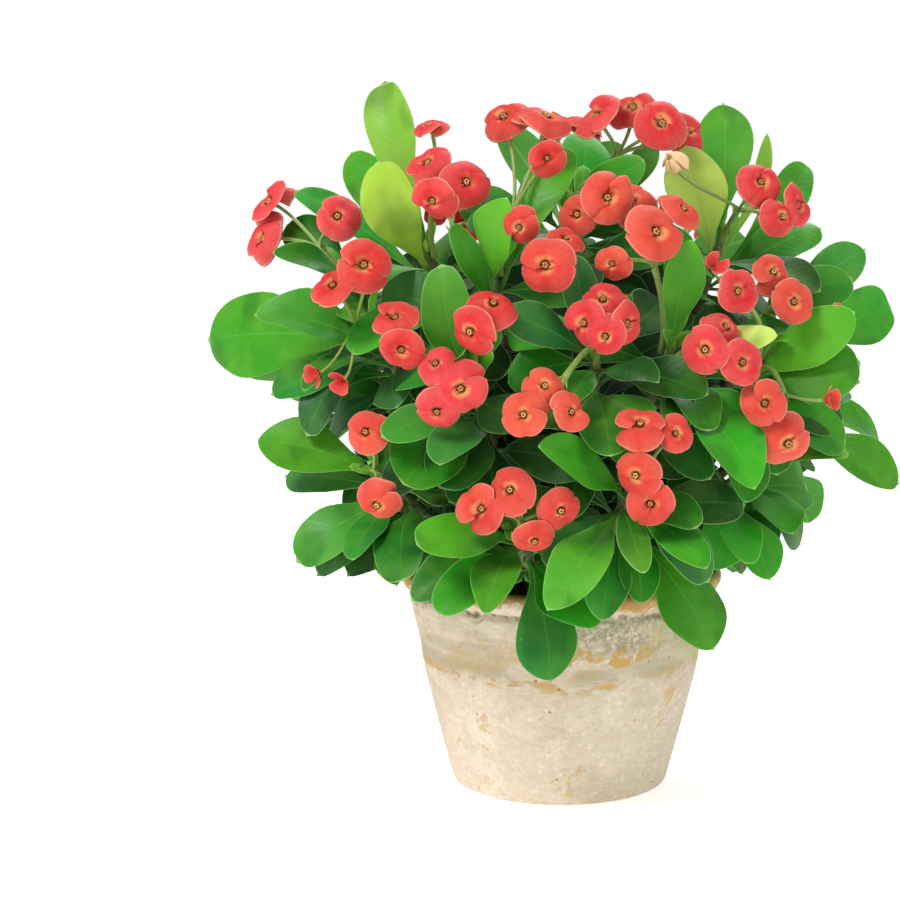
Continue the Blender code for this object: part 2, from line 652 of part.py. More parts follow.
def make_spray(number, shoot, fork_share, heads, collection):
    """A stalk beside its shoot that forks and carries its heads, each spray of a shoot lower down."""
    start, tip, axis = shoot_axis(shoot)
    spots = [to_metres(head[:3]) for head in heads]
    middle = sum(spots, Vector()) / len(spots)
    before = sum(other == shoot for key, (other, _, _) in SPRAYS.items() if key < number)
    root = start.lerp(tip, 0.97 - STALK_STEP * before)
    side = middle - root
    side -= axis * side.dot(axis)
    side.normalize()
    root += side * (SHOOT_RADIUS + STALK_RADIUS + GAP)
    fork = root.lerp(middle, fork_share) + axis * 0.006
    bend = root + axis * 0.4 * (fork - root).length
    stalk = bezier(root, root.lerp(bend, 0.7), fork.lerp(bend, 0.5), fork, 3)
    name = f"flower_spray_{number}"
    solids = [tube(name, stalk, [STALK_RADIUS] * 3, 0, collection)]
    back = (stalk[-2] - stalk[-1]).normalized() * STALK_RADIUS
    for i, (spot, head) in enumerate(zip(spots, heads)):
        facing = head_facing(spot, middle)
        inside = fork + back * (1.0 + 2.5 * i)
        solids.append(head_solid(f"{name}_head_{i}", spot, facing, head[3] * MM, inside, collection))
    spray = joined(name, solids, collection)
    finish(spray, BRACT_RED)
    return spray


def main():
    clear_scene()
    plant = new_collection("potted_euphorbia")
    cutters = new_collection("cutters")
    room = Room()
    make_pot(plant)
    make_soil(plant, cutters)
    for name in ("pot", "soil"):
        room.add_object(bpy.data.objects[name])
    for name, (place, shoots) in STEMS.items():
        room.add_object(make_stem(name, place, shoots, plant))
    for number, (shoot, fork_share, heads) in SPRAYS.items():
        room.add_object(make_spray(number, shoot, fork_share, heads, plant))
    make_shoots(plant, room)


main()
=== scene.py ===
"""A potted crown-of-thorns euphorbia, finished round its measured frame.

Lengths are in metres unless a name or a comment says otherwise. The plant's places repeat the
frame's design tables in millimetres. The origin is the middle of the pot's underside, +Z is up
and -Y is the plant's front.
"""

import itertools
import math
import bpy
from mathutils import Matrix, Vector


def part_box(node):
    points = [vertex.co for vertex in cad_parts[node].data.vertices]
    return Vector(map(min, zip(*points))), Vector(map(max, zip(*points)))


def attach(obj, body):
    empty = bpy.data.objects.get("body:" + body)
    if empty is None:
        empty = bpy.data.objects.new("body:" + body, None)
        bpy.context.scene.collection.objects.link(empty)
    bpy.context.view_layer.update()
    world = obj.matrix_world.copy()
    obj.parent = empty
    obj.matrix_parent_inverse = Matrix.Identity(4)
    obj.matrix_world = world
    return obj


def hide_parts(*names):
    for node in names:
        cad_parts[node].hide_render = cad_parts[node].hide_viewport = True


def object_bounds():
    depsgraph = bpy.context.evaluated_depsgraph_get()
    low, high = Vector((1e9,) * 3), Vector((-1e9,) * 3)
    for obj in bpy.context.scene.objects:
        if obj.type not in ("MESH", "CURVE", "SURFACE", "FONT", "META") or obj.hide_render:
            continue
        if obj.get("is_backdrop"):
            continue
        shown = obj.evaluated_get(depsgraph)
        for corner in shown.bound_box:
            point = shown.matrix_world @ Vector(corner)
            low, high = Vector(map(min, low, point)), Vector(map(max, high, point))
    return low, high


bl_info = {
    "name": "Potted Crown-of-Thorns",
    "version": (1, 0, 0),
    "blender": (4, 5, 0),
    "location": "View3D > Sidebar > Euphorbia",
    "description": "Finishes a potted crown-of-thorns round its measured frame",
    "category": "Add Mesh",
}

import bpy
import numpy as np
from bpy.props import FloatProperty, FloatVectorProperty, IntProperty, PointerProperty
from mathutils import Quaternion, Vector
from mathutils.bvhtree import BVHTree

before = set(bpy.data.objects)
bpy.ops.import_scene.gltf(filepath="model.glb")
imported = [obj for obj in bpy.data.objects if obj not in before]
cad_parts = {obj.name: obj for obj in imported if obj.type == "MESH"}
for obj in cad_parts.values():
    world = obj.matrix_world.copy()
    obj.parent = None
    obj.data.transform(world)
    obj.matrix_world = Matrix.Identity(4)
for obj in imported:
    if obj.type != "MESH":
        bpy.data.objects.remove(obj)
CAD_LOW, CAD_HIGH = (np.array(corner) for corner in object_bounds())

MM = 0.001
UP = np.array([0.0, 0.0, 1.0])
GOLDEN_ANGLE = math.radians(137.5)

# The frame's own measures, repeated so that each piece lies on its solid: lengths, radii and
# heights, shares of a shoot, turns in degrees, and shares of a leaf's length or half width
GAP = 0.0003
SHOOT_LENGTH = 0.045
SHOOT_RADIUS = 0.0032
SHOOT_TIP_RADIUS = 0.0020
SHOOT_FOCUS = Vector((0, 0, 0.140))
SHOOT_RISE = 0.35
FIRST_LEAF = 0.14
LEAF_SPREAD = 0.78
RULE_LENGTH = 0.072
RULE_WIDTH = 0.033
LEAF_BREADTH = 1.12
LEAF_ARCH = 0.10
LEAF_FOLD = 0.22
PETIOLE_HALF_WIDTH = 0.0013
SWINGS = (0, 6, -6, 12, -12, 18, -18, 26, -26, 34, -34)
LIFTS = (0, 6, -6, 12, -12, 20, -20)
SCALES = (1.0, 0.88, 0.75)
TIP_MATCH = 0.0004
ROOT_DEPTH = 0.088
FORK_HEIGHT = 0.128
FORK_STEP = 0.005
BRANCH_RISE = 0.50
BRANCH_ENTRY = 0.35
STEM_RADIUS = 0.0062
BRANCH_RADIUS = 0.0050
BRANCH_END_RADIUS = 0.0034
BRANCH_POINTS = 4
BRANCH_CAP = 0.004
STALK_RADIUS = 0.0013
FIRST_STALK = 0.97
STALK_STEP = 0.14
FORK_LIFT = 0.006
HEAD_SPLAY = 0.85
FLOWER_FOCUS = Vector((0, 0, 0.200))
BUD_WIDTH = 0.015
LEDGE_HEIGHT = 0.078
LIP_HEIGHT = 0.121
WALL = 0.008
SOIL_EDGE_HEIGHT = 0.119

# What the frame leaves open: heights below which no filler leaf ends and no thorn stands, the
# crown's middle and reach for the shade painted on leaves deep inside it, new leaves at a growing
# tip, and a leaf's small point
FILLER_FLOOR = 0.140
THORN_FLOOR = 0.120
CROWN_HEIGHT = 0.240
CROWN_REACH = 0.190
SPROUTS = 5
LEAF_POINT = 0.0011

# How finely the shapes are made: sides, steps and rings, some as shares of a length
POT_SIDES = 176
SOIL_SIDES = 72
BRANCH_STEPS = 16
STALK_STEPS = 9
BRACT_STEPS = np.array([0.0, 0.22, 0.44, 0.66, 0.85, 0.965, 1.0])
BRACT_RIBS = 19
CUP_SIDES = 20
FLOOR_CELLS = 8
LAST_RING = 0.965

# Each stem: its place in the soil and the shoots that it carries
STEMS = {
    "woody_stem_1": ((-36, -16), ("03", "04", "02", "24")),
    "woody_stem_2": ((-6, -42), ("10", "05", "11", "06")),
    "woody_stem_3": ((38, -20), ("09", "08", "07", "15")),
    "woody_stem_4": ((30, 32), ("20", "19", "23", "25")),
    "woody_stem_5": ((-30, 32), ("16", "17", "22", "18")),
    "woody_stem_6": ((2, 2), ("21", "12", "13", "14", "01")),
}

# Each shoot: its growing tip, its leaves as (tip x, y, z, width, roll in degrees, youth from dark
# green 0 to lime 1), and how many more leaves follow round its axis by rule
SHOOTS = {
    "01": ((-78, -62, 332), [(-105, -40, 431, 27, 0, 0.72), (-95, -78, 393, 30, 10, 0.85),
                             (-128, -10, 390, 24, 0, 0.35), (-165, -20, 367, 20, 15, 0.15)], 2),
    "02": ((-125, -15, 315), [(-175, 0, 345, 26, 0, 0.15), (-172, -45, 332, 18, 0, 0.1)], 3),
    "03": ((-110, -62, 288), [(-215, -20, 277, 46, -28, 0.28), (-177, -88, 298, 30, 0, 0.3),
                              (-170, -70, 250, 30, 0, 0.2), (-146, -115, 258, 20, 0, 0.15)], 2),
    "04": ((-105, -85, 205), [(-177, -85, 225, 34, 0, 0.4), (-165, -50, 198, 24, 0, 0.2),
                              (-152, -100, 156, 30, 0, 0.42), (-116, -128, 157, 24, 0, 0.2),
                              (-88, -145, 155, 30, 0, 0.15)], 1),
    "05": ((-50, -118, 262), [(-28, -165, 292, 26, 0, 0.15), (-80, -150, 316, 26, 0, 0.35),
                              (-97, -168, 248, 22, 0, 0.3), (-65, -186, 236, 26, 0, 0.2),
                              (-86, -165, 213, 38, 0, 0.22)], 1),
    "06": ((20, -125, 288), [(5, -150, 337, 20, 0, 0.25), (-32, -150, 305, 24, 0, 0.15),
                             (0, -180, 273, 16, 0, 0.2), (52, -165, 270, 18, 0, 0.15),
                             (27, -180, 232, 28, 0, 0.28)], 1),
    "07": ((60, -110, 280), [(72, -140, 355, 24, 0, 0.42), (62, -160, 240, 18, 0, 0.15),
                             (112, -140, 240, 22, 0, 0.15), (107, -170, 222, 32, 0, 0.22)], 1),
    "08": ((115, -75, 272), [(117, -148, 294, 17, 8, 1.0), (150, -115, 302, 28, 0, 0.42),
                             (172, -25, 249, 26, 0, 0.15), (163, -85, 287, 34, 0, 0.35)], 1),
    "09": ((108, -70, 208), [(168, -62, 216, 16, 0, 0.7), (132, -110, 177, 28, 0, 0.2),
                             (122, -85, 145, 28, 0, 0.2), (103, -135, 165, 24, 0, 0.15)], 2),
    "10": ((38, -135, 205), [(-12, -188, 238, 26, 0, 0.3), (73, -175, 192, 24, 0, 0.2),
                             (45, -200, 180, 16, 0, 0.3), (-8, -205, 162, 27, 0, 0.5),
                             (78, -190, 173, 22, 0, 0.2), (86, -142, 117, 34, 0, 0.32),
                             (66, -152, 140, 24, 0, 0.1), (23, -165, 138, 24, 0, 0.15)], 0),
    "11": ((-25, -132, 180), [(-77, -188, 184, 27, 0, 0.45), (-40, -192, 147, 24, 0, 0.3),
                              (-66, -172, 142, 26, 0, 0.1), (-82, -155, 146, 26, 0, 0.15),
                              (-5, -140, 97, 32, 0, 0.12)], 1),
    "12": ((-40, -85, 322), [(-20, -118, 372, 26, 0, 0.55), (-14, -75, 400, 24, 0, 0.45),
                             (-62, -112, 352, 14, 0, 0.3)], 2),
    "13": ((5, -30, 355), [(14, 12, 402, 28, 0, 0.08), (46, -75, 387, 22, 0, 0.12),
                           (56, 15, 397, 16, 0, 0.3)], 3),
    "14": ((95, -15, 338), [(96, 0, 419, 32, -32, 0.5), (81, -65, 395, 32, -78, 1.0),
                            (121, 22, 401, 12, 0, 0.75), (150, 32, 382, 22, 0, 0.3),
                            (155, -5, 345, 28, 0, 0.2)], 1),
    "15": ((125, -25, 300), [(182, -5, 332, 24, 0, 0.25), (172, -20, 316, 26, 0, 0.3),
                             (203, 28, 295, 32, 38, 0.25)], 2),
    "16": ((-120, 70, 240), [(-205, 75, 250, 34, 0, 0.3), (-180, 112, 215, 32, 0, 0.2),
                             (-165, 45, 185, 32, 0, 0.2)], 4),
    "17": ((-75, 105, 300), [(-115, 150, 335, 30, 0, 0.4), (-70, 182, 318, 30, 0, 0.3)], 5),
    "18": ((-5, 125, 275), [(0, 207, 270, 34, 0, 0.3), (-45, 190, 285, 30, 0, 0.2),
                            (38, 192, 250, 30, 0, 0.2)], 4),
    "19": ((70, 110, 300), [(115, 150, 330, 30, 0, 0.4), (75, 182, 322, 30, 0, 0.3)], 5),
    "20": ((140, 60, 225), [(209, 95, 200, 28, 62, 0.3), (215, 50, 180, 32, 70, 0.4),
                            (188, 122, 258, 30, 40, 0.3), (165, 150, 222, 30, 0, 0.2)], 3),
    "21": ((0, 60, 350), [(-30, 95, 410, 28, 0, 0.5), (35, 95, 405, 28, 0, 0.4)], 5),
    "22": ((-60, 130, 200), [(-110, 180, 185, 32, 0, 0.3), (-75, 168, 122, 30, 0, 0.2),
                             (-20, 165, 130, 32, 0, 0.2)], 3),
    "23": ((60, 135, 200), [(110, 180, 185, 32, 0, 0.3), (62, 172, 115, 30, 0, 0.2),
                            (25, 192, 160, 30, 0, 0.3)], 3),
    "24": ((-108, 18, 185), [(-162, 55, 188, 32, -45, 0.3), (-150, 15, 138, 32, -50, 0.2),
                             (-178, 5, 195, 28, 0, 0.3), (-118, 62, 128, 30, 0, 0.2)], 3),
    "25": ((104, 12, 175), [(138, 35, 150, 30, 40, 0.3), (112, 65, 118, 30, 0, 0.2),
                            (132, -32, 158, 28, 35, 0.3), (98, -15, 112, 30, 0, 0.2),
                            (136, 12, 127, 24, 55, 0.1)], 1),
}

# A leaf of one shoot's table that grows from another shoot, and its place there
LENT_LEAVES = {("08", 0): ("07", 0.5)}

# Each flower spray: its shoot, where its stalk forks (share of the way out), its tint from pink
# -1 through coral 0 to salmon 1, and its heads as (x, y, z, width)
SPRAYS = {
    "01": ("02", 0.35, -0.80, [(-183, -2, 338, 38), (-180, 2, 360, 38), (-130, -78, 355, 30)]),
    "02": ("03", 0.35, 0.15, [(-111, -122, 330, 34), (-129, -118, 318, 32), (-137, -112, 268, 14),
                              (-122, -125, 266, 14)]),
    "03": ("01", 0.60, -0.55, [(-76, -102, 386, 30), (-54, -116, 376, 32), (-72, -126, 366, 30),
                              (-77, -72, 407, 24)]),
    "04": ("12", 0.40, 0.30, [(-34, -78, 412, 34), (-10, -84, 412, 36), (-9, -112, 389, 26),
                              (-24, -135, 352, 26)]),
    "05": ("13", 0.60, 0.65, [(24, -132, 368, 36), (8, -116, 358, 30)]),
    "06": ("07", 0.60, 0.50, [(50, -146, 350, 38), (66, -128, 362, 30), (38, -118, 366, 34),
                              (27, -150, 333, 22)]),
    "07": ("06", 0.60, 0.20, [(-9, -162, 333, 36), (2, -140, 346, 26)]),
    "08": ("13", 0.55, -0.35, [(19, -62, 412, 36), (40, -50, 417, 34), (56, -74, 408, 36),
                              (72, -52, 404, 32)]),
    "09": ("14", 0.45, -0.30, [(112, -84, 375, 30), (134, -74, 362, 30), (124, -92, 356, 28),
                              (59, -100, 390, 24)]),
    "10": ("08", 0.70, -0.25, [(95, -146, 318, 30), (82, -140, 330, 14)]),
    "11": ("15", 0.45, 0.50, [(119, -98, 325, 26), (130, -104, 309, 30), (160, -62, 296, 22)]),
    "12": ("07", 0.60, -0.75, [(77, -166, 288, 32), (97, -162, 281, 32), (89, -150, 299, 28)]),
    "13": ("08", 0.60, 0.60, [(110, -156, 258, 32), (124, -150, 235, 34), (145, -132, 257, 14)]),
    "14": ("10", 0.50, 0.45, [(42, -184, 250, 30), (61, -178, 244, 24), (40, -189, 223, 30),
                              (48, -184, 207, 30)]),
    "15": ("06", 0.65, 0.80, [(-20, -188, 255, 28), (-9, -184, 270, 26), (5, -190, 257, 28)]),
    "16": ("06", 0.60, -0.55, [(12, -176, 303, 30), (22, -168, 315, 30), (34, -175, 303, 30),
                              (23, -184, 297, 26)]),
    "17": ("05", 0.65, 0.00, [(-37, -170, 313, 32), (-49, -176, 298, 32)]),
    "18": ("05", 0.65, 0.05, [(-91, -154, 303, 30), (-87, -162, 287, 28)]),
    "19": ("05", 0.60, -0.90, [(-68, -170, 280, 28), (-54, -180, 268, 32), (-67, -177, 255, 28)]),
    "20": ("04", 0.40, 0.60, [(-107, -160, 241, 30), (-101, -162, 201, 30)]),
    "21": ("11", 0.50, 0.35, [(-42, -183, 203, 30), (-27, -188, 214, 30), (-14, -190, 187, 28),
                              (0, -187, 203, 30)]),
    "22": ("16", 0.60, 0.40, [(-180, 95, 275, 30), (-168, 115, 290, 30)]),
    "23": ("17", 0.60, -0.40, [(-85, 165, 350, 30), (-65, 172, 338, 30), (-75, 150, 364, 26)]),
    "24": ("18", 0.60, 0.50, [(-12, 190, 305, 32), (12, 188, 312, 30)]),
    "25": ("19", 0.60, 0.10, [(78, 168, 352, 30), (98, 160, 340, 30)]),
    "26": ("20", 0.60, 0.55, [(180, 108, 272, 30), (166, 128, 285, 30)]),
    "27": ("21", 0.60, -0.35, [(-8, 112, 402, 30), (14, 104, 408, 30), (4, 126, 388, 28)]),
}

# The withered head: its spray and its place there, and the turns of its shrivelled pairs
WITHERED_HEAD = ("09", 3)
WITHERED_TURNS = (0.0, 1.1, 2.2)

# Each lamp: its place, its width and its tint
LAMPS = {
    "key": ((-1.2, -1.5, 2.1), 0.8, (1.0, 0.985, 0.96)),
    "fill": ((1.7, -1.5, 0.9), 1.6, (0.97, 0.985, 1.0)),
    "top": ((0.5, 1.4, 1.9), 1.4, (1.0, 1.0, 1.0)),
}

# Where the lamps aim; the camera's place and aim, and the width of its sensor in millimetres; and
# the strength of the sky as the camera sees it
LAMP_AIM = (0, 0, 0.22)
CAMERA_PLACE = (0.0, -1.35, 0.413)
CAMERA_AIM = (-0.069, 0.0, 0.207)
SENSOR_WIDTH = 36.0
SKY_SEEN = 1.02


# ---------------------------------------------------------------- settings

def length(name, text, default):
    return FloatProperty(
        name=name, description=text, default=default, min=0.0, subtype="DISTANCE", unit="LENGTH"
    )


def power(name, text, default):
    return FloatProperty(
        name=name, description=text, default=default, min=0.0, subtype="POWER", unit="POWER"
    )


def share(name, text, default):
    return FloatProperty(name=name, description=text, default=default, min=0.0, max=1.0, subtype="FACTOR")


def colour(name, text, default):
    return FloatVectorProperty(
        name=name, description=text, default=default, size=3, min=0.0, max=1.0, subtype="COLOR"
    )


def count(name, text, default):
    return IntProperty(name=name, description=text, default=default, min=1)


class PotSettings(bpy.types.PropertyGroup):
    """Sizes and colours of the clay pot."""

    wobble: length("Wobble", "How far the hand-turned wall strays from round", 0.0006)
    chips: length("Rim chips", "Depth of the small chips along the rim", 0.0009)
    wash: colour("Wash", "The limewash over most of the pot", (0.63, 0.525, 0.40))
    pale_wash: colour("Pale wash", "The lighter clouds in the limewash", (0.72, 0.62, 0.49))
    ochre: colour("Ochre", "Where the wash has worn to ochre clay", (0.55, 0.33, 0.075))
    rim_clay: colour("Rim clay", "The bare clay along the lip", (0.46, 0.23, 0.065))
    stain: colour("Stain", "Grey-olive weathering on the collar", (0.30, 0.27, 0.17))


class SoilSettings(bpy.types.PropertyGroup):
    """Sizes and colours of the potting soil."""

    granules: count("Granules", "How many loose granules lie on the soil", 520)
    granule_size: length("Granule size", "Mean radius of a granule", 0.0020)
    earth: colour("Earth", "The soil between the granules", (0.045, 0.030, 0.020))
    grit: colour("Grit", "The palest granules", (0.42, 0.36, 0.29))


class WoodSettings(bpy.types.PropertyGroup):
    """Sizes and colours of the woody stems and their thorns."""

    thorn_pitch: length("Thorn pitch", "Distance along a branch from one thorn to the next", 0.0046)
    thorn_length: length("Thorn length", "Mean length of a thorn", 0.0085)
    thorn_radius: length("Thorn radius", "Radius of a thorn at its foot", 0.0009)
    bark: colour("Bark", "The grey-brown bark", (0.10, 0.072, 0.046))
    green_bark: colour("Green bark", "The young bark near the leaves", (0.14, 0.20, 0.055))
    thorn: colour("Thorn", "The red-brown thorns", (0.12, 0.035, 0.022))


class LeafSettings(bpy.types.PropertyGroup):
    """Sizes and colours of the leaves."""

    thickness: length("Thickness", "Thickness of a blade beside its midrib", 0.0009)
    rib_depth: length("Rib depth", "How far the midrib stands out below", 0.0008)
    wave: share("Wave", "Largest wave of a blade's edge, as a share of its half width", 0.24)
    twist: FloatProperty(name="Twist", description="Largest twist of a blade from base to tip",
                         default=math.radians(26), subtype="ANGLE", unit="ROTATION")
    sprout_length: length("Sprout length", "Length of the small new leaves at each growing tip", 0.026)
    filler_length: length("Filler length", "Length of the shorter leaves inside the crown", 0.060)
    filler_width: length("Filler width", "Width of the shorter leaves inside the crown", 0.027)
    fillers: count("Fillers", "How many shorter leaves each shoot tries to add", 20)
    filler_depth: length("Filler depth", "How far below a growing tip the shorter leaves reach", 0.105)
    dark: colour("Dark green", "A full-grown leaf in the shade", (0.003, 0.045, 0.006))
    mature: colour("Mature green", "A full-grown leaf", (0.017, 0.345, 0.012))
    fresh: colour("Fresh green", "A leaf that has just reached its size", (0.075, 0.38, 0.014))
    young: colour("Young green", "A new leaf", (0.43, 0.60, 0.060))
    under: colour("Underside", "The paler underside", (0.08, 0.27, 0.045))
    rib: colour("Midrib", "The pale midrib", (0.20, 0.50, 0.10))


class FlowerSettings(bpy.types.PropertyGroup):
    """Sizes and colours of the flower heads."""

    bract_thickness: length("Bract thickness", "Thickness of a coloured bract", 0.00045)
    ruffle: share("Ruffle", "Height of a bract's ruffle as a share of the head's width", 0.028)
    stalk_radius: length("Stalk radius", "Radius of a flower stalk", 0.0016)
    coral: colour("Coral", "The deeper red bracts", (0.59, 0.013, 0.017))
    pink: colour("Pink", "The pinker bracts", (0.69, 0.040, 0.052))
    salmon: colour("Salmon", "The lighter bracts", (0.73, 0.100, 0.042))
    peach: colour("Peach", "A withered head", (0.88, 0.50, 0.22))
    gland: colour("Gland", "The nectar glands round a cup", (0.78, 0.46, 0.11))
    throat: colour("Throat", "The dark middle of a cup", (0.10, 0.045, 0.018))
    stalk: colour("Stalk", "The flower stalks", (0.34, 0.44, 0.10))


class StageSettings(bpy.types.PropertyGroup):
    """The floor, the lights and the camera."""

    floor_size: length("Floor size", "Side of the square floor", 30.0)
    floor: colour("Floor", "The plain pale floor", (0.98, 0.98, 0.98))
    glow: share("Floor glow", "How much light the floor gives of its own, as a light table does", 0.44)
    key_power: power("Key light", "Power of the large light from the front left", 42.0)
    fill_power: power("Fill light", "Power of the light from the front right", 6.0)
    top_power: power("Top light", "Power of the light from above and behind", 24.0)
    sky: FloatProperty(name="Sky", description="Strength of the even light all round", default=0.60, min=0.0)
    lens: FloatProperty(name="Lens", description="The camera's focal length", default=88.0, min=1.0,
                        subtype="DISTANCE_CAMERA", unit="CAMERA")


# ---------------------------------------------------------------- vectors

def unit(v):
    """Each vector over its own length."""
    return v / np.maximum(np.linalg.norm(v, axis=-1, keepdims=True), 1e-12)


def turned(v, axis, angle):
    """Each vector turned about its unit axis: its part along the axis stays, the rest swings by the angle."""
    angle = np.asarray(angle)[..., None]
    along = (v * axis).sum(-1, keepdims=True) * axis
    return along + (v - along) * np.cos(angle) + np.cross(axis, v) * np.sin(angle)


def ease(low, high, x):
    """0 below low, 1 above high, and three t squared less two t cubed between them."""
    t = np.clip((x - low) / (high - low), 0.0, 1.0)
    return t * t * (3 - 2 * t)


def bezier(start, handle_a, handle_b, end, steps):
    """Points along a cubic Bezier curve, as one array."""
    t = np.linspace(0.0, 1.0, steps)[:, None]
    a, b, c, d = (np.array(p) for p in (start, handle_a, handle_b, end))
    return (1 - t) ** 3 * a + 3 * (1 - t) ** 2 * t * b + 3 * (1 - t) * t**2 * c + t**3 * d


def side_frames(paths):
    """For paths (path, point, 3): the direction at each point, and two more square to it."""
    along = unit(np.gradient(paths, axis=1))
    chord = np.abs(unit(paths[:, -1] - paths[:, 0]))
    away = np.eye(3)[chord.argmin(1)][:, None, :]
    first = unit(np.cross(along, away))
    return along, first, np.cross(along, first)


# ---------------------------------------------------------------- meshes

def new_object(name, data):
    made = bpy.data.objects.new(name, data)
    bpy.context.scene.collection.objects.link(made)
    return made


class Skin:
    """Gathers closed shells made of rings, and makes them one mesh object with named attributes."""

    def __init__(self):
        self.corners, self.faces, self.materials, self.marks, self.total = [], [], [], {}, 0

    def add(self, points, poles, material=0, **marks):
        """Rings (shell, ring, loop, 3) joined ring to ring, closed by a pole (shell, 2, 3) at both
        ends. Marks give a number or a colour for each ring point; a pole takes its ring's mean."""
        shells, rings, loop, _ = points.shape
        size = rings * loop + 2
        ring, spot = (g.ravel() for g in np.meshgrid(range(rings - 1), range(loop), indexing="ij"))
        a, b = ring * loop + spot, ring * loop + (spot + 1) % loop
        quads = np.stack([a, b, b + loop, a + loop], 1)
        near, far = np.arange(loop), (np.arange(loop) + 1) % loop
        top = (rings - 1) * loop
        ends = np.concatenate([
            np.stack([far, near, np.full(loop, size - 2)], 1),
            np.stack([near + top, far + top, np.full(loop, size - 1)], 1),
        ])
        step = self.total + size * np.arange(shells)[:, None, None]
        self.corners.append(np.concatenate([points.reshape(shells, -1, 3), poles], 1).reshape(-1, 3))
        self.faces += (quads + step).reshape(-1, 4).tolist() + (ends + step).reshape(-1, 3).tolist()
        self.materials += [material] * (shells * (len(quads) + len(ends)))
        for name, values in marks.items():
            values = np.broadcast_to(values, (shells, rings, loop, *np.shape(values)[3:]))
            tips = np.stack([values[:, 0].mean(1), values[:, -1].mean(1)], 1)
            flat = values.reshape(shells, rings * loop, *values.shape[3:])
            flat = np.concatenate([flat, tips], 1)
            self.marks.setdefault(name, []).append(flat.reshape(-1, *values.shape[3:]))
        self.total += shells * size

    def build(self, name, *materials):
        """The gathered shells as one smooth mesh object, with its place in its mesh."""
        mesh = bpy.data.meshes.new(name)
        mesh.from_pydata(np.concatenate(self.corners), [], self.faces)
        for material in materials:
            mesh.materials.append(material)
        mesh.polygons.foreach_set("material_index", self.materials)
        mesh.polygons.foreach_set("use_smooth", [True] * len(self.faces))
        for mark, parts in self.marks.items():
            values = np.concatenate(parts)
            if values.ndim == 2:
                mesh.attributes.new(mark, "FLOAT_COLOR", "POINT").data.foreach_set("color", values.ravel())
            else:
                mesh.attributes.new(mark, "FLOAT", "POINT").data.foreach_set("value", values)
        mesh.update()
        return new_object(name, mesh)


def tube_rings(paths, radii, sides):
    """Rings and poles of tubes: at each path point a circle of that radius, square to the path.
    Paths are (tube, point, 3) and radii (tube, point)."""
    along, first, second = side_frames(paths)
    angle = np.linspace(0, 2 * np.pi, sides, endpoint=False)[None, None, :, None]
    rim = first[:, :, None] * np.cos(angle) + second[:, :, None] * np.sin(angle)
    rings = paths[:, :, None] + rim * radii[:, :, None, None]
    reach = 0.4 * radii[:, [0, -1], None] * np.array([-1, 1])[None, :, None]
    return rings, paths[:, [0, -1]] + along[:, [0, -1]] * reach


def settle(piece, slot, *nodes):
    """The piece rides on the plant's one body and stands for its CAD nodes; slot is not used."""
    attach(piece, "root")
    if nodes:
        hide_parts(*nodes)
    return piece


def cad_mesh(node):
    """A CAD node's corners as an array and its triangles as a list."""
    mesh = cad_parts[node].data
    flat = np.empty(len(mesh.vertices) * 3, np.float32)
    mesh.vertices.foreach_get("co", flat)
    corners = np.empty(len(mesh.loops), np.int32)
    mesh.loops.foreach_get("vertex_index", corners)
    return flat.reshape(-1, 3).astype(float), corners.reshape(-1, 3)


# ---------------------------------------------------------------- materials

class Graph:
    """Adds nodes to a node tree; an input that is a socket is linked, anything else is its value."""

    def __init__(self, tree):
        self.tree = tree

    def add(self, kind, inputs=None, **settings):
        node = self.tree.nodes.new("ShaderNode" + kind)
        for key, value in settings.items():
            setattr(node, key, value)
        for key, value in (inputs or {}).items():
            self.feed(node.inputs[key], value)
        return node

    def feed(self, socket, value):
        if isinstance(value, bpy.types.NodeSocket):
            self.tree.links.new(value, socket)
        elif hasattr(value, "__len__") and len(value) == 3 and socket.type == "RGBA":
            socket.default_value = (*value, 1.0)
        else:
            socket.default_value = value

    def attribute(self, name, output="Fac"):
        return self.add("Attribute", attribute_name=name, attribute_type="GEOMETRY").outputs[output]

    def place(self):
        return self.add("TexCoord").outputs["Object"]

    def maths(self, operation, *values):
        return self.add("Math", dict(enumerate(values)), operation=operation).outputs[0]

    def times(self, first, *others):
        """The product of masks and numbers."""
        for other in others:
            first = self.maths("MULTIPLY", first, other)
        return first

    def line(self, value, height, half):
        """A soft line: 1 where the value is at the height, 0 from half its width away."""
        away = self.maths("ABSOLUTE", self.maths("SUBTRACT", value, height))
        return self.span(away, half, 0.2 * half)

    def mix(self, factor, a, b):
        node = self.add("Mix", data_type="RGBA")
        for socket, value in zip((node.inputs[0], node.inputs[6], node.inputs[7]), (factor, a, b)):
            self.feed(socket, value)
        return node.outputs[2]

    def span(self, value, low, high, to_low=0.0, to_high=1.0):
        """value from low..high mapped smoothly on to to_low..to_high."""
        inputs = {0: value, 1: low, 2: high, 3: to_low, 4: to_high}
        return self.add("MapRange", inputs, interpolation_type="SMOOTHSTEP").outputs[0]

    def noise(self, vector, scale, detail=2.0, roughness=0.5):
        inputs = {"Vector": vector, "Scale": scale, "Detail": detail, "Roughness": roughness}
        return self.add("TexNoise", inputs).outputs["Fac"]

    def stretched(self, vector, scale):
        return self.add("Mapping", {"Vector": vector, "Scale": scale}).outputs[0]

    def split(self, vector):
        return self.add("SeparateXYZ", {0: vector}).outputs

    def bump(self, height, strength, distance):
        inputs = {"Height": height, "Strength": strength, "Distance": distance}
        return self.add("Bump", inputs).outputs[0]

    def effect(self, group, **inputs):
        node = self.add("Group")
        node.node_tree = group
        for key, value in inputs.items():
            self.feed(node.inputs[key], value)
        return node.outputs


def new_material(name):
    """A Principled material, its graph and shader, and the place on the piece that it colours."""
    material = bpy.data.materials.new(name)
    material.use_nodes = True
    graph = Graph(material.node_tree)
    return material, graph, material.node_tree.nodes["Principled BSDF"], graph.place()


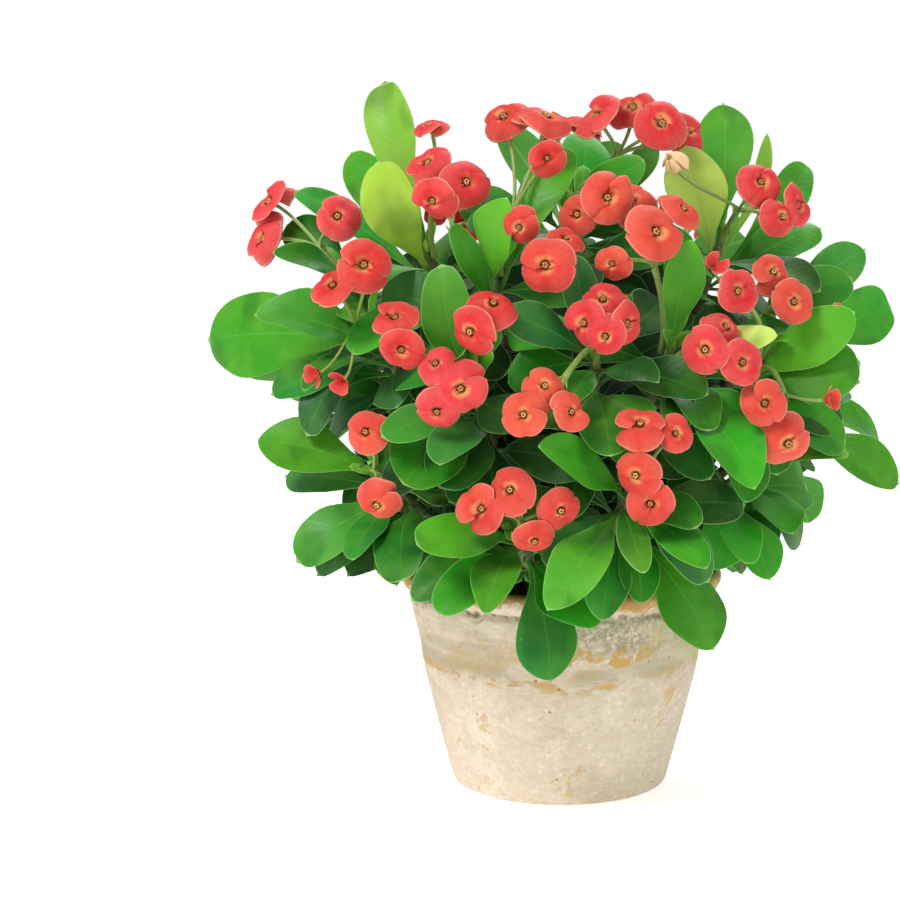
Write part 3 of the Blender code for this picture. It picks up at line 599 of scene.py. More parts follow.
def dress(g, shader, body, rough, height, strength, distance):
    """Gives a shader its colour, its roughness, and a bump of that strength and distance."""
    g.feed(shader.inputs["Base Color"], body)
    g.feed(shader.inputs["Roughness"], rough)
    g.feed(shader.inputs["Normal"], g.bump(height, strength, distance))


def let_light_through(shader, gloss, amount, spread):
    """Gives a thin blade its gloss, how much light enters it, and how far each colour spreads."""
    shader.inputs["Specular IOR Level"].default_value = gloss
    shader.inputs["Subsurface Weight"].default_value = amount
    shader.inputs["Subsurface Radius"].default_value = spread
    shader.inputs["Subsurface Scale"].default_value = 0.002


def new_group(name, inputs, outputs):
    """An empty shader node group with named sockets, its graph, and its two end nodes."""
    group = bpy.data.node_groups.new(name, "ShaderNodeTree")
    for label, kind in inputs.items():
        group.interface.new_socket(label, in_out="INPUT", socket_type=f"NodeSocket{kind}")
    for label, kind in outputs.items():
        group.interface.new_socket(label, in_out="OUTPUT", socket_type=f"NodeSocket{kind}")
    start, end = group.nodes.new("NodeGroupInput"), group.nodes.new("NodeGroupOutput")
    return group, Graph(group), start.outputs, end.inputs


def cached_group(name, make):
    return bpy.data.node_groups.get(name) or make(name)


def clouds_group(name):
    """Soft clouds: two sizes of noise averaged, and spread between two edges as a mask."""
    group, g, given, made = new_group(
        name, {"Vector": "Vector", "Scale": "Float", "Low": "Float", "High": "Float"}, {"Mask": "Float"}
    )
    broad = g.noise(given["Vector"], given["Scale"], 3.0, 0.55)
    fine = g.noise(given["Vector"], g.times(given["Scale"], 3.7), 4.0, 0.6)
    both = g.maths("ADD", g.times(broad, 0.7), g.times(fine, 0.3))
    g.feed(made["Mask"], g.span(both, given["Low"], given["High"]))
    return group


def grain_group(name):
    """Fine grain: noise at one scale with a finer one laid over it, as a height."""
    group, g, given, made = new_group(name, {"Vector": "Vector", "Scale": "Float"}, {"Height": "Float"})
    coarse = g.noise(given["Vector"], given["Scale"], 5.0, 0.65)
    fine = g.noise(given["Vector"], g.times(given["Scale"], 4.3), 2.0, 0.5)
    g.feed(made["Height"], g.maths("ADD", coarse, g.times(fine, 0.35)))
    return group


def clouds(g, vector, scale, low, high):
    return g.effect(cached_group("clouds", clouds_group), Vector=vector, Scale=scale, Low=low, High=high)[0]


def grain(g, vector, scale):
    return g.effect(cached_group("grain", grain_group), Vector=vector, Scale=scale)[0]


def crown_reach(g, spot):
    """How far out in the crown a place is: its squared distance from the crown's middle, with the
    upright part stretched, so that it is 0 in the middle and 1 at about the outside."""
    x, y, z = g.split(spot)
    z = g.times(g.maths("SUBTRACT", z, CROWN_HEIGHT), 1.12)
    squares = [g.times(part, part) for part in (x, y, z)]
    return g.times(g.maths("ADD", g.maths("ADD", squares[0], squares[1]), squares[2]), 1 / CROWN_REACH**2)


def leaf_material(look):
    """Leaf: green by youth and tone, with painted shade deep in the crown, a pale midrib and edge,
    faint side veins and a paler underside."""
    material, g, shader, spot = new_material("leaf_blade")
    tone = g.add("SeparateColor", {0: g.attribute("tone", "Color")}).outputs
    youth, depth, under = tone["Red"], tone["Green"], tone["Blue"]
    blue = g.attribute("tone", "Alpha")
    rib, edge, vein = (g.attribute(name) for name in ("rib_mm", "edge_mm", "vein_mm"))
    lime, blue_green, pale_edge = (0.60, 0.77, 0.15), (0.030, 0.150, 0.065), (0.50, 0.70, 0.25)
    green = g.mix(depth, look.dark, look.mature)
    green = g.mix(g.span(youth, 0.12, 0.55), green, look.fresh)
    green = g.mix(g.span(youth, 0.50, 1.0), green, look.young)
    green = g.mix(g.span(youth, 0.86, 1.0), green, lime)
    green = g.mix(g.times(blue, 0.60), green, blue_green)
    patches = clouds(g, spot, 38.0, 0.35, 0.68)
    green = g.mix(g.times(patches, 0.30), green, g.mix(0.4, green, look.young))
    side_vein = g.maths("PINGPONG", g.maths("ADD", vein, g.noise(spot, 120.0)), 2.6)
    side_vein = g.span(side_vein, 0.55, 0.0)
    green = g.mix(g.times(side_vein, g.span(edge, 0.3, 3.0, 0.0, 0.035)), green, look.rib)
    green = g.mix(g.span(rib, 11.0, 1.0, 0.0, 0.22), green, g.mix(0.5, green, look.fresh))
    shade = g.noise(g.stretched(spot, (1.0, 1.0, 0.7)), 34.0)
    green = g.mix(g.span(shade, 0.50, 0.34, 0.0, 0.34), green, look.dark)
    # Painted shade: leaves deep in the crown are darkened towards half the dark green; the same mask also
    # roughens them
    inside = g.span(crown_reach(g, spot), 0.62, 0.20, 0.0, 0.80)
    green = g.mix(inside, green, [0.5 * part for part in look.dark])
    green = g.mix(g.times(g.span(rib, 0.75, 0.10), g.attribute("rib_fade")), green, look.rib)
    green = g.mix(g.span(edge, 0.65, 0.10, 0.0, 0.65), green, g.mix(0.45, look.rib, pale_edge))
    below = g.mix(g.span(rib, 1.6, 0.3, 0.0, 0.6), look.under, look.rib)
    green = g.mix(g.times(under, 0.75), green, below)
    rough = g.maths("ADD", g.span(patches, 0.0, 1.0, 0.34, 0.46), g.times(under, 0.2))
    rough = g.maths("ADD", rough, g.times(inside, 0.3))
    height = g.maths("SUBTRACT", g.times(grain(g, spot, 150.0), 0.6),
                     g.times(side_vein, g.span(edge, 0.3, 3.0, 0.0, 0.30)))
    dress(g, shader, green, rough, height, 0.35, 0.0006)
    let_light_through(shader, 0.18, 0.08, (0.3, 1.0, 0.15))
    return material


def bract_material(look):
    """Bract: coral, salmon or pink, deeper towards the throat, with painted shade along its folds, peach
    round the cup, a painted sheen lightening it towards the edge and a paler line along the edge, with
    fine creases that fan out; a withered one is peach all over."""
    material, g, shader, spot = new_material("flower_bract")
    tone = g.add("SeparateColor", {0: g.attribute("tone", "Color")}).outputs
    salmon, depth, withered = tone["Red"], tone["Green"], tone["Blue"]
    reach, turn = g.attribute("reach"), g.attribute("turn")
    rose, orange, painted_sheen, rim = (0.95, 0.30, 0.22), (0.95, 0.55, 0.20), (0.92, 0.26, 0.20), (0.97, 0.40, 0.27)
    red = g.mix(salmon, look.coral, look.salmon)
    red = g.mix(g.attribute("tone", "Alpha"), red, look.pink)
    deep = g.mix(0.6, red, (0.48, 0.008, 0.012))
    red = g.mix(g.span(reach, 0.45, 0.10, 0.0, 0.30), red, deep)
    flare = g.span(g.noise(spot, 90.0), 0.42, 0.60, 0.10, 0.85)
    red = g.mix(g.times(g.span(reach, 0.40, 0.06), flare), red, orange)
    red = g.mix(g.times(depth, 0.35), red, deep)
    patches = clouds(g, spot, 85.0, 0.35, 0.65)
    red = g.mix(g.times(patches, 0.35), red, g.mix(0.40, red, rose))
    # Painted sheen: the outer part of each bract is lightened towards pale pink
    red = g.mix(g.span(reach, 0.45, 1.0, 0.0, 0.20), red, painted_sheen)
    red = g.mix(g.span(reach, 0.93, 0.975, 0.0, 0.55), red, rim)
    # Painted shade: each bract is darkened along its midline fold and at the junctions, by the fold mark
    red = g.mix(g.times(g.attribute("fold"), 0.38), red, deep)
    fan = g.add("CombineXYZ", {0: g.times(turn, 9.0), 1: g.times(reach, 1.3)}).outputs[0]
    crease = g.noise(fan, 2.4, 2.0, 0.6)
    red = g.mix(g.span(crease, 0.56, 0.40, 0.0, 0.22), red, deep)
    red = g.mix(withered, red, g.mix(crease, look.peach, (0.92, 0.70, 0.42)))
    height = g.maths("ADD", crease, g.times(grain(g, spot, 420.0), 0.25))
    dress(g, shader, red, g.span(patches, 0.0, 1.0, 0.46, 0.60), height, 0.40, 0.0009)
    let_light_through(shader, 0.16, 0.10, (1.0, 0.25, 0.2))
    return material


def cup_material(look):
    """Cup: a dark throat in the middle, glossy yellow glands round it, browner towards the foot."""
    material, g, shader, spot = new_material("nectar_cup")
    reach = g.attribute("reach")
    body = g.mix(g.span(reach, 0.46, 0.62), look.throat, look.gland)
    body = g.mix(clouds(g, spot, 60.0, 0.44, 0.54), body, g.mix(0.65, body, (0.30, 0.075, 0.020)))
    body = g.mix(g.span(reach, 0.80, 1.0, 0.0, 0.6), body, (0.45, 0.14, 0.04))
    dress(g, shader, body, 0.30, grain(g, spot, 900.0), 0.3, 0.0003)
    return material


def stalk_material(look):
    """Stalk: yellow-green, streaked along its length and flushed with red here and there."""
    material, g, shader, spot = new_material("flower_stalk")
    streaks = g.noise(g.stretched(spot, (1.0, 1.0, 0.25)), 300.0, 3.0)
    body = g.mix(streaks, look.stalk, (0.20, 0.34, 0.06))
    body = g.mix(g.times(clouds(g, spot, 45.0, 0.5, 0.7), 0.35), body, (0.38, 0.16, 0.06))
    dress(g, shader, body, g.span(streaks, 0.3, 0.7, 0.38, 0.52), streaks, 0.25, 0.0004)
    return material


def bark_material(look, name, young):
    """Bark: grey-brown with pale leaf scars and fine cracks, greener on the young wood."""
    material, g, shader, spot = new_material(name)
    body = g.mix(clouds(g, spot, 55.0, 0.35, 0.65), look.bark, (0.17, 0.135, 0.09))
    if young:
        body = g.mix(clouds(g, spot, 70.0, 0.30, 0.60), body, look.green_bark)
    scars = g.add("TexVoronoi", {"Vector": spot, "Scale": 210.0}).outputs["Distance"]
    body = g.mix(g.span(scars, 0.30, 0.12, 0.0, 0.5), body, (0.36, 0.31, 0.22))
    cracks = g.noise(g.stretched(spot, (1.0, 1.0, 0.22)), 420.0, 4.0, 0.7)
    body = g.mix(g.span(cracks, 0.45, 0.34, 0.0, 0.7), body, (0.05, 0.035, 0.022))
    height = g.maths("ADD", cracks, grain(g, spot, 500.0))
    dress(g, shader, body, g.span(cracks, 0.3, 0.7, 0.92, 0.72), height, 0.7, 0.0010)
    return material


def thorn_material(look):
    """Thorn: dark red-brown, paler at its foot, with a dull shine."""
    material, g, shader, spot = new_material("thorn")
    body = g.mix(g.span(g.attribute("reach"), 0.0, 0.6), (0.24, 0.13, 0.075), look.thorn)
    body = g.mix(g.times(clouds(g, spot, 240.0, 0.4, 0.6), 0.4), body, (0.07, 0.028, 0.020))
    dress(g, shader, body, 0.42, grain(g, spot, 900.0), 0.2, 0.0003)
    return material


def soil_material(look):
    """Soil: dark crumbs with paler clouds and a few pale flecks."""
    material, g, shader, spot = new_material("potting_soil")
    crumbs = g.add("TexVoronoi", {"Vector": spot, "Scale": 330.0}).outputs["Distance"]
    body = g.mix(g.span(crumbs, 0.0, 0.6), (0.090, 0.060, 0.038), look.earth)
    body = g.mix(clouds(g, spot, 120.0, 0.55, 0.72), body, (0.15, 0.10, 0.062))
    body = g.mix(g.span(g.noise(spot, 900.0, 1.0), 0.70, 0.78, 0.0, 0.7), body, look.grit)
    height = g.maths("SUBTRACT", grain(g, spot, 400.0), crumbs)
    dress(g, shader, body, g.span(crumbs, 0.0, 0.6, 0.88, 0.98), height, 0.9, 0.0016)
    return material


def granule_material(look):
    """Granule: from dark bark chips to pale grit, each one its own tone."""
    material, g, shader, spot = new_material("soil_granule")
    own = g.attribute("own")
    body = g.mix(g.span(own, 0.0, 0.75), (0.055, 0.035, 0.022), (0.20, 0.125, 0.070))
    body = g.mix(g.span(own, 0.86, 0.92), body, look.grit)
    body = g.mix(g.times(clouds(g, spot, 380.0, 0.4, 0.6), 0.35), body, look.earth)
    dress(g, shader, body, 0.9, grain(g, spot, 700.0), 0.6, 0.0006)
    return material


def limewash(g, look, spot, brushed):
    """The wash: warm clouds, with painted shade greying its right side and painted light warming its
    left, with smudges, pale brushed veins, and dark and pale flecks."""
    x = g.split(spot)[0]
    body = g.mix(clouds(g, spot, 15.0, 0.38, 0.62), look.wash, look.pale_wash)
    # Painted shade darkens and greys the right side; painted light warms and lightens the left
    body = g.mix(g.span(x, -0.03, 0.085, 0.0, 0.62), body, (0.50, 0.42, 0.30))
    body = g.mix(g.span(x, 0.00, -0.09, 0.0, 0.45), body, (0.82, 0.64, 0.51))
    body = g.mix(clouds(g, spot, 40.0, 0.46, 0.66), body, g.mix(0.55, body, (0.50, 0.41, 0.28)))
    veins = g.span(g.maths("ABSOLUTE", g.maths("SUBTRACT", brushed, 0.5)), 0.050, 0.004)
    body = g.mix(g.times(veins, 0.16), body, (0.90, 0.81, 0.68))
    smudge = g.noise(g.stretched(spot, (0.4, 0.4, 1.3)), 24.0, 4.0, 0.6)
    body = g.mix(g.span(smudge, 0.50, 0.66, 0.0, 0.40), body, (0.52, 0.44, 0.31))
    fleck = g.noise(spot, 300.0, 4.0, 0.7)
    body = g.mix(g.span(fleck, 0.46, 0.34, 0.0, 0.40), body, (0.46, 0.36, 0.22))
    return g.mix(g.span(fleck, 0.56, 0.68, 0.0, 0.45), body, (0.90, 0.83, 0.70))


def worn_collar(g, look, spot, waver, body):
    """The collar's grey streaks and low grey band, ochre wear on its right, fainter wear all round
    it and below it, and scuffs along the ledge; with a mask of the places worn deepest."""
    x, _, z = g.split(spot)
    collar = g.times(g.span(z, LEDGE_HEIGHT - 0.002, LEDGE_HEIGHT + 0.008),
                     g.span(z, LIP_HEIGHT + 0.001, LIP_HEIGHT - 0.009))
    grey = g.noise(g.stretched(spot, (0.32, 0.32, 1.7)), 58.0, 4.0, 0.65)
    body = g.mix(g.times(collar, g.span(grey, 0.48, 0.62, 0.0, 0.55)), body, (0.44, 0.39, 0.27))
    broken = g.span(g.noise(spot, 26.0, 3.0), 0.38, 0.56)
    low_band = g.times(g.line(waver, LEDGE_HEIGHT + 0.0095, 0.0080), broken)
    body = g.mix(g.times(low_band, 0.62), body, (0.38, 0.34, 0.22))
    holes = g.span(g.noise(spot, 170.0, 3.0, 0.6), 0.36, 0.44)
    worn = clouds(g, g.stretched(spot, (1.0, 1.0, 1.6)), 27.0, 0.545, 0.565)
    wear = g.times(worn, collar, g.span(x, -0.012, 0.004), holes)
    body = g.mix(g.times(wear, 0.92), body, look.ochre)
    faint = clouds(g, g.stretched(spot, (1.0, 1.0, 1.3)), 31.0, 0.50, 0.60)
    body = g.mix(g.times(faint, collar, holes, 0.38), body, look.ochre)
    low_wear = clouds(g, g.stretched(spot, (1.0, 1.0, 0.8)), 52.0, 0.60, 0.64)
    low_wear = g.times(low_wear, g.span(z, LEDGE_HEIGHT, LEDGE_HEIGHT - 0.010), holes)
    body = g.mix(g.times(low_wear, 0.55), body, look.ochre)
    scuffs = g.noise(g.stretched(spot, (0.5, 0.5, 1.6)), 95.0, 4.0, 0.7)
    ledge = g.times(g.line(waver, LEDGE_HEIGHT + 0.0020, 0.0062), g.span(scuffs, 0.49, 0.55))
    return g.mix(g.times(ledge, 0.80), body, look.ochre), g.maths("ADD", wear, ledge)


def stained_rim(g, look, spot, waver, body):
    """Grey specks below the rim, bare clay along the lip, two dark lines under it, and painted
    green-tinted shade from the leaves at the collar's right."""
    x, _, z = g.split(spot)
    specks = g.span(g.noise(spot, 330.0, 3.0, 0.75), 0.42, 0.56)
    high = g.times(g.span(z, LIP_HEIGHT - 0.031, LIP_HEIGHT - 0.015),
                   g.span(x, -0.045, 0.030, 0.15, 1.0), clouds(g, spot, 26.0, 0.38, 0.54))
    body = g.mix(g.times(high, specks, 0.90), body, look.stain)
    edge = g.maths("ADD", z, g.span(g.noise(spot, 55.0, 3.0, 0.6), 0.25, 0.75, -0.006, 0.006))
    bare = g.span(edge, LIP_HEIGHT + 0.0045, LIP_HEIGHT + 0.0065)
    body = g.mix(g.times(bare, 0.92), body, look.rim_clay)
    body = g.mix(g.times(bare, clouds(g, spot, 110.0, 0.46, 0.58), 0.60), body, (0.70, 0.46, 0.20))
    groove = g.times(g.line(waver, LIP_HEIGHT + 0.0005, 0.0028),
                     g.span(g.noise(spot, 70.0, 3.0, 0.7), 0.40, 0.55))
    body = g.mix(g.times(groove, 0.85), body, (0.17, 0.115, 0.055))
    scratch = g.times(g.line(waver, LIP_HEIGHT - 0.0035, 0.0012),
                      g.span(g.noise(spot, 62.0, 3.0, 0.7), 0.50, 0.60))
    body = g.mix(g.times(scratch, 0.70), body, (0.30, 0.21, 0.11))
    # Painted shade, tinted green, where the leaves hang over the collar's right
    painted_leaf_shade = g.times(g.span(x, 0.035, 0.070), g.span(z, LEDGE_HEIGHT - 0.002, LEDGE_HEIGHT + 0.010),
                    clouds(g, spot, 20.0, 0.36, 0.55))
    return g.mix(g.times(painted_leaf_shade, 0.45), body, (0.30, 0.33, 0.12))


def pot_material(look):
    """Pot: limewash, worn to ochre on the collar and ledge, stained by the rim, with a few pits,
    and bare clay inside."""
    material, g, shader, spot = new_material("limewashed_clay")
    sway = g.span(g.noise(spot, 38.0, 3.0, 0.6), 0.3, 0.7, -0.0025, 0.0025)
    waver = g.maths("ADD", g.split(spot)[2], sway)
    brushed = g.noise(g.stretched(spot, (0.55, 0.55, 1.5)), 70.0, 5.0, 0.62)
    body = limewash(g, look, spot, brushed)
    body, worn = worn_collar(g, look, spot, waver, body)
    body = stained_rim(g, look, spot, waver, body)
    pits = g.add("TexVoronoi", {"Vector": spot, "Scale": 140.0}).outputs["Distance"]
    pit = g.times(g.span(pits, 0.17, 0.06), g.span(g.noise(spot, 48.0), 0.55, 0.60))
    body = g.mix(g.times(pit, 0.75), body, (0.26, 0.17, 0.08))
    inside = g.times(g.span(g.attribute("inner"), 0.3, 0.7), 0.85)
    body = g.mix(inside, body, (0.36, 0.26, 0.16))
    relief = g.maths("ADD", g.times(grain(g, spot, 200.0), 0.45), g.times(brushed, 0.9))
    relief = g.maths("SUBTRACT", relief, g.maths("ADD", pit, g.times(worn, 0.5)))
    dress(g, shader, body, g.span(brushed, 0.3, 0.7, 0.80, 0.95), relief, 0.55, 0.0012)
    return material


def floor_material(look):
    """Floor: plain and pale, with the slightest unevenness, and a little light of its own."""
    material, g, shader, spot = new_material("pale_floor")
    tint = g.mix(g.noise(spot, 3.0), look.floor, [0.985 * part for part in look.floor])
    g.feed(shader.inputs["Base Color"], tint)
    shader.inputs["Roughness"].default_value = 0.9
    shader.inputs["Specular IOR Level"].default_value = 0.1
    shader.inputs["Emission Color"].default_value = (1.0, 1.0, 1.0, 1.0)
    shader.inputs["Emission Strength"].default_value = look.glow
    return material


# ---------------------------------------------------------------- the plant's design

def shoot_axis(shoot):
    """Where a leafy shoot starts, where it ends, and its direction."""
    tip = Vector(SHOOTS[shoot][0]) * MM
    axis = (tip - SHOOT_FOCUS).normalized() + Vector((0, 0, SHOOT_RISE))
    axis.normalize()
    return tip - axis * SHOOT_LENGTH, tip, axis


def leaf_base(shoot, order, total):
    """Where on its shoot's axis a leaf starts, evenly spaced: the first leaves near the growing tip."""
    start, tip, _ = shoot_axis(shoot)
    return tip.lerp(start, FIRST_LEAF + LEAF_SPREAD * (order + 0.5) / total)


def rule_aim(shoot, order, base):
    """Where a leaf that follows the golden angle round its shoot aims: the later, the less upward,
    and each third one the longest."""
    _, _, axis = shoot_axis(shoot)
    side = axis.orthogonal().normalized()
    side.rotate(Quaternion(axis, order * GOLDEN_ANGLE + 0.7 * int(shoot)))
    spread = 0.35 - 0.12 * order
    reach = RULE_LENGTH * (1.0 + 0.07 * (order % 3))
    return base + (side + axis * spread).normalized() * reach


def nudges():
    """The small turns and cuts in length that a leaf may take, the least first: cutting a leaf by
    all its length counts as much as turning it by 70 degrees."""
    every = itertools.product(SWINGS, LIFTS, SCALES)
    return np.array(sorted(every, key=lambda n: abs(n[0]) + abs(n[1]) + 70 * (1 - n[2])))


def nudged_tips(base, aim, moves):
    """Every tip that a leaf may end at: its chord turned about the upright, then up or down, then cut."""
    swing, lift, scale = moves.T
    chord = turned(np.tile(aim - base, (len(moves), 1)), UP, np.radians(swing))
    level = unit(np.stack([chord[:, 1], -chord[:, 0], 0 * swing], 1))
    return base + turned(chord, level, np.radians(lift)) * scale[:, None]


def frame_leaves(shoot, moves):
    """The leaves that a shoot's CAD solid holds, as rows of base, tip, width, roll and youth. A leaf
    is found by the tip it left in the solid; one that had no room there is left out."""
    _, by_hand, more = SHOOTS[shoot]
    corners, _ = cad_mesh(f"leafy_shoot_{shoot}")
    total = len(by_hand) + more
    rng = np.random.default_rng(100 + int(shoot))
    rows = []
    for order in range(total):
        grower, place = LENT_LEAVES.get((shoot, order), (shoot, order))
        base = leaf_base(grower, place, total)
        if order < len(by_hand):
            x, y, z, width, roll, youth = by_hand[order]
            aim, width = Vector((x, y, z)) * MM, width * MM
        else:
            aim, width, roll, youth = rule_aim(shoot, order - len(by_hand), base), RULE_WIDTH, 0.0, None
        tips = nudged_tips(np.array(base), np.array(aim), moves)
        off = np.linalg.norm(tips[:, None] - corners[None], axis=2).min(1)
        found = np.flatnonzero(off < TIP_MATCH)
        youth = rng.uniform(0.08, 0.34) if youth is None else youth
        if len(found):
            scale = moves[found[0], 2]
            rows.append((*base, *tips[found[0]], width * LEAF_BREADTH * scale, math.radians(roll), youth))
    return rows


def branch_path(root, shoot, steps):
    """A branch's axis: a Bezier curve up from its root, then over, and square on to its shoot's end."""
    start, _, axis = shoot_axis(shoot)
    end = start - axis * 2 * GAP
    last = end - axis * BRANCH_CAP
    span = (last - root).length
    rise = root + Vector((0, 0, BRANCH_RISE * span))
    curve = bezier(root, rise, last - axis * BRANCH_ENTRY * span, last, steps)
    return np.concatenate([curve, [np.array(end)]])


def point_at_height(path, height):
    """The point at a height on a rising path."""
    return Vector([np.interp(height, path[:, 2], path[:, i]) for i in range(3)])


def stem_branches(name, steps):
    """Each branch of a stem as (shoot, path, foot radius); the first carries on from the trunk."""
    (x, y), shoots = STEMS[name]
    root = Vector((x * MM, y * MM, ROOT_DEPTH))
    ground = Vector((root.x, root.y, FORK_HEIGHT))
    trunk = np.concatenate([[np.array(root)], branch_path(ground, shoots[0], BRANCH_POINTS)])
    below = np.linspace(root, ground, 4)[:-1]
    yield shoots[0], np.concatenate([below, branch_path(ground, shoots[0], steps)]), STEM_RADIUS
    for order, shoot in enumerate(shoots[1:], 1):
        fork = point_at_height(trunk, FORK_HEIGHT + FORK_STEP * order)
        yield shoot, branch_path(fork, shoot, steps + 3), BRANCH_RADIUS


# ---------------------------------------------------------------- leaves

def leaf_frames(base, tip, roll):
    """For leaves (leaf, 3): length, direction along, across, and out of the upper face. The face
    looks upwards, outwards, and backwards at the plant's back, squared to the leaf, then rolled."""
    chord = tip - base
    reach = np.linalg.norm(chord, axis=1)
    along = unit(chord)
    middle = (base + tip) / 2
    face = unit(middle * [1, 1, 0]) * 0.6
    face[:, 1] += 0.5 * np.clip((middle[:, 1] - 0.02) / 0.04, -1, 1)
    face[:, 2] += 0.7
    face = unit(face - along * (face * along).sum(1, keepdims=True))
    face = turned(face, along, roll)
    return reach, along, np.cross(along, face), face


def half_widths(along, width, power=2.1, blunt=0.40):
    """Half a leaf's width at a share t of its length: width / 2 times sin(pi t^power) raised to
    1.1 + (blunt - 1.1) t, a wedge at the base and a round end. A higher power moves the widest part
    out, and a higher blunt draws the end to a point."""
    swell = np.sin(np.pi * np.clip(along, 0, 1) ** power) ** (1.10 + (blunt - 1.10) * along)
    return np.maximum(PETIOLE_HALF_WIDTH * (1.0 - along), width / 2 * swell)


def add_leaves(skin, rows, look, rng, rings=18, columns=(0.33, 0.66, 0.965)):
    """Lofts leaves into a skin. Across a blade v runs from -1 to 1 over the upper face and back
    below; along it s runs from 0 to 1, closer together near the tip. With h the half width at s,
    drawn a little in and out along both edges, a point lies at v h across, L s along, and out of
    the face by
      arch L 4 s (1-s) + droop L s s (1-s) + fold h (0.4 |v| + 0.6 v v) + wave h v v sin(pace s + phase)
    with a narrow crease over the midrib, half the thickness up or down, and the rib below. All but
    the arch then twists about the midrib by an angle that grows with s, and the whole sways
    sideways by 4 s (1-s) of its share of L."""
    rows = np.array(rows)
    base, tip, width, roll, youth = rows[:, :3], rows[:, 3:6], rows[:, 6], rows[:, 7], rows[:, 8]
    (folded, waved, paced, phased, sided, drooped, swayed, twisted, shaded, blued, filled,
     blunted) = rng.uniform(-1, 1, (12, len(rows), 1, 1))
    reach, along, across, face = leaf_frames(base, tip, roll)
    reach, width, youth = (part[:, None, None] for part in (reach, width, youth))
    s = (1 - (1 - np.linspace(0, LAST_RING, rings)) ** 2)[None, :, None]
    half_row = np.array([0.0, *columns, 1.0])
    v_top = np.concatenate([-half_row[:0:-1], half_row])
    v = np.concatenate([v_top, v_top[-2:0:-1]])[None, None, :]
    side = np.concatenate([np.ones(len(v_top)), -np.ones(len(v_top) - 2)])[None, None, :]
    side = np.where(np.abs(v) == 1.0, 0.0, side)
    half = half_widths(s, width, 2.12 + 0.28 * filled, 0.46 + 0.16 * blunted)
    half = half * (1 + 0.060 * s * s * np.sin((12 + 4 * sided) * s + 3 * paced + 1.5 * np.sign(v)))
    fold = LEAF_FOLD * (0.65 + 0.75 * folded)
    phase = 3 * phased + 1.3 * np.sign(v) * sided
    wave = look.wave * (0.5 + 0.5 * waved) * half * v * v * np.sin((8 + 3 * paced) * s + phase)
    crease = -0.00045 * np.exp(-((v * half / 0.0016) ** 2)) * (1 - s)
    arch = reach * LEAF_ARCH * 4 * s * (1 - s)
    droop = reach * (0.16 + 0.20 * drooped) * s * s * (1 - s)
    thick = look.thickness * (1.3 - 0.6 * s) * (1 - 0.75 * v * v) / 2
    rib = look.rib_depth * (1.15 - s) * np.exp(-((v * half / 0.0013) ** 2))
    skinned = np.where(side > 0, thick, np.where(side < 0, -thick - rib, 0.0))
    rise = droop + fold * half * (0.4 * np.abs(v) + 0.6 * v * v) + wave + crease + skinned
    twist = look.twist * twisted * (s - 0.35)
    x = half * v * np.cos(twist) - rise * np.sin(twist) + reach * 0.05 * swayed * s * (1 - s) * 4
    z = half * v * np.sin(twist) + rise * np.cos(twist) + arch
    y = reach * s + 0 * x
    points = base[:, None, None] + sum(
        direction[:, None, None] * amount[..., None]
        for direction, amount in ((across, x), (along, y), (face, z)))
    point = LEAF_POINT + 0.0007 * blued[:, 0]
    poles = np.stack([base - along * 0.0004, tip + along * point], 1)
    rib_mm = np.abs(v) * half / MM
    edge_mm = np.minimum((1 - np.abs(v)) * half, (1 - s) * reach * 0.8) / MM
    tone = np.stack(np.broadcast_arrays(
        np.maximum(youth, 0) + 0 * x, np.clip(0.58 + 0.50 * shaded + np.minimum(youth, 0), 0, 1),
        (side < 0) * 1.0, np.clip(1.6 * blued - 0.4, 0, 1) * (1 - np.clip(youth, 0, 1))), -1)
    skin.add(points, poles, rib_mm=rib_mm, edge_mm=edge_mm, tone=tone,
             vein_mm=reach * s / MM - 0.95 * rib_mm, rib_fade=(0.52 - 0.46 * s) + 0 * x)


class Thicket:
    """What stands in the crown already, to find room for one more leaf."""

    def __init__(self, nodes):
        self.trees = {}
        for node in nodes:
            corners, faces = cad_mesh(node)
            self.trees[node] = BVHTree.FromPolygons(corners.tolist(), faces.tolist())
        self.added = []

    def sheet(self, base, tip, width):
        """A leaf's blade as a strip of three pairs of points and its tip, with an arched rib."""
        reach, along, across, face = (part[0] for part in leaf_frames(base[None], tip[None], np.zeros(1)))
        s = np.array([0.25, 0.5, 0.8])[:, None]
        half = half_widths(s, width)
        rib = base + along * reach * s + face * (LEAF_ARCH * reach * 4 * s * (1 - s))
        edge = face * LEAF_FOLD * half
        corners = np.concatenate([rib - across * half + edge, rib, rib + across * half + edge, [tip]])
        faces = [(i + 3 * k, i + 1 + 3 * k, i + 4 + 3 * k, i + 3 + 3 * k) for k in (0, 1) for i in (0, 1)]
        return corners, faces + [(2, 5, 9), (5, 8, 9)]

    def find_room(self, base, aim, width, own, moves):
        """The first nudged tip whose blade misses every solid but the leaf's own, or None."""
        for tip, scale in zip(nudged_tips(base, aim, moves), moves[:, 2]):
            if (tip < CAD_LOW).any() or (tip > CAD_HIGH).any() or tip[2] < FILLER_FLOOR:
                continue
            corners, faces = self.sheet(base, tip, width * scale)
            if (corners < CAD_LOW).any() or (corners > CAD_HIGH).any():
                continue
            tree = BVHTree.FromPolygons(corners.tolist(), faces)
            if any(tree.overlap(other) for node, other in self.trees.items() if node not in own):
                continue
            if any(tree.overlap(other) for other in self.added):
                continue
            self.added.append(tree)
            return tip, width * scale
        return None


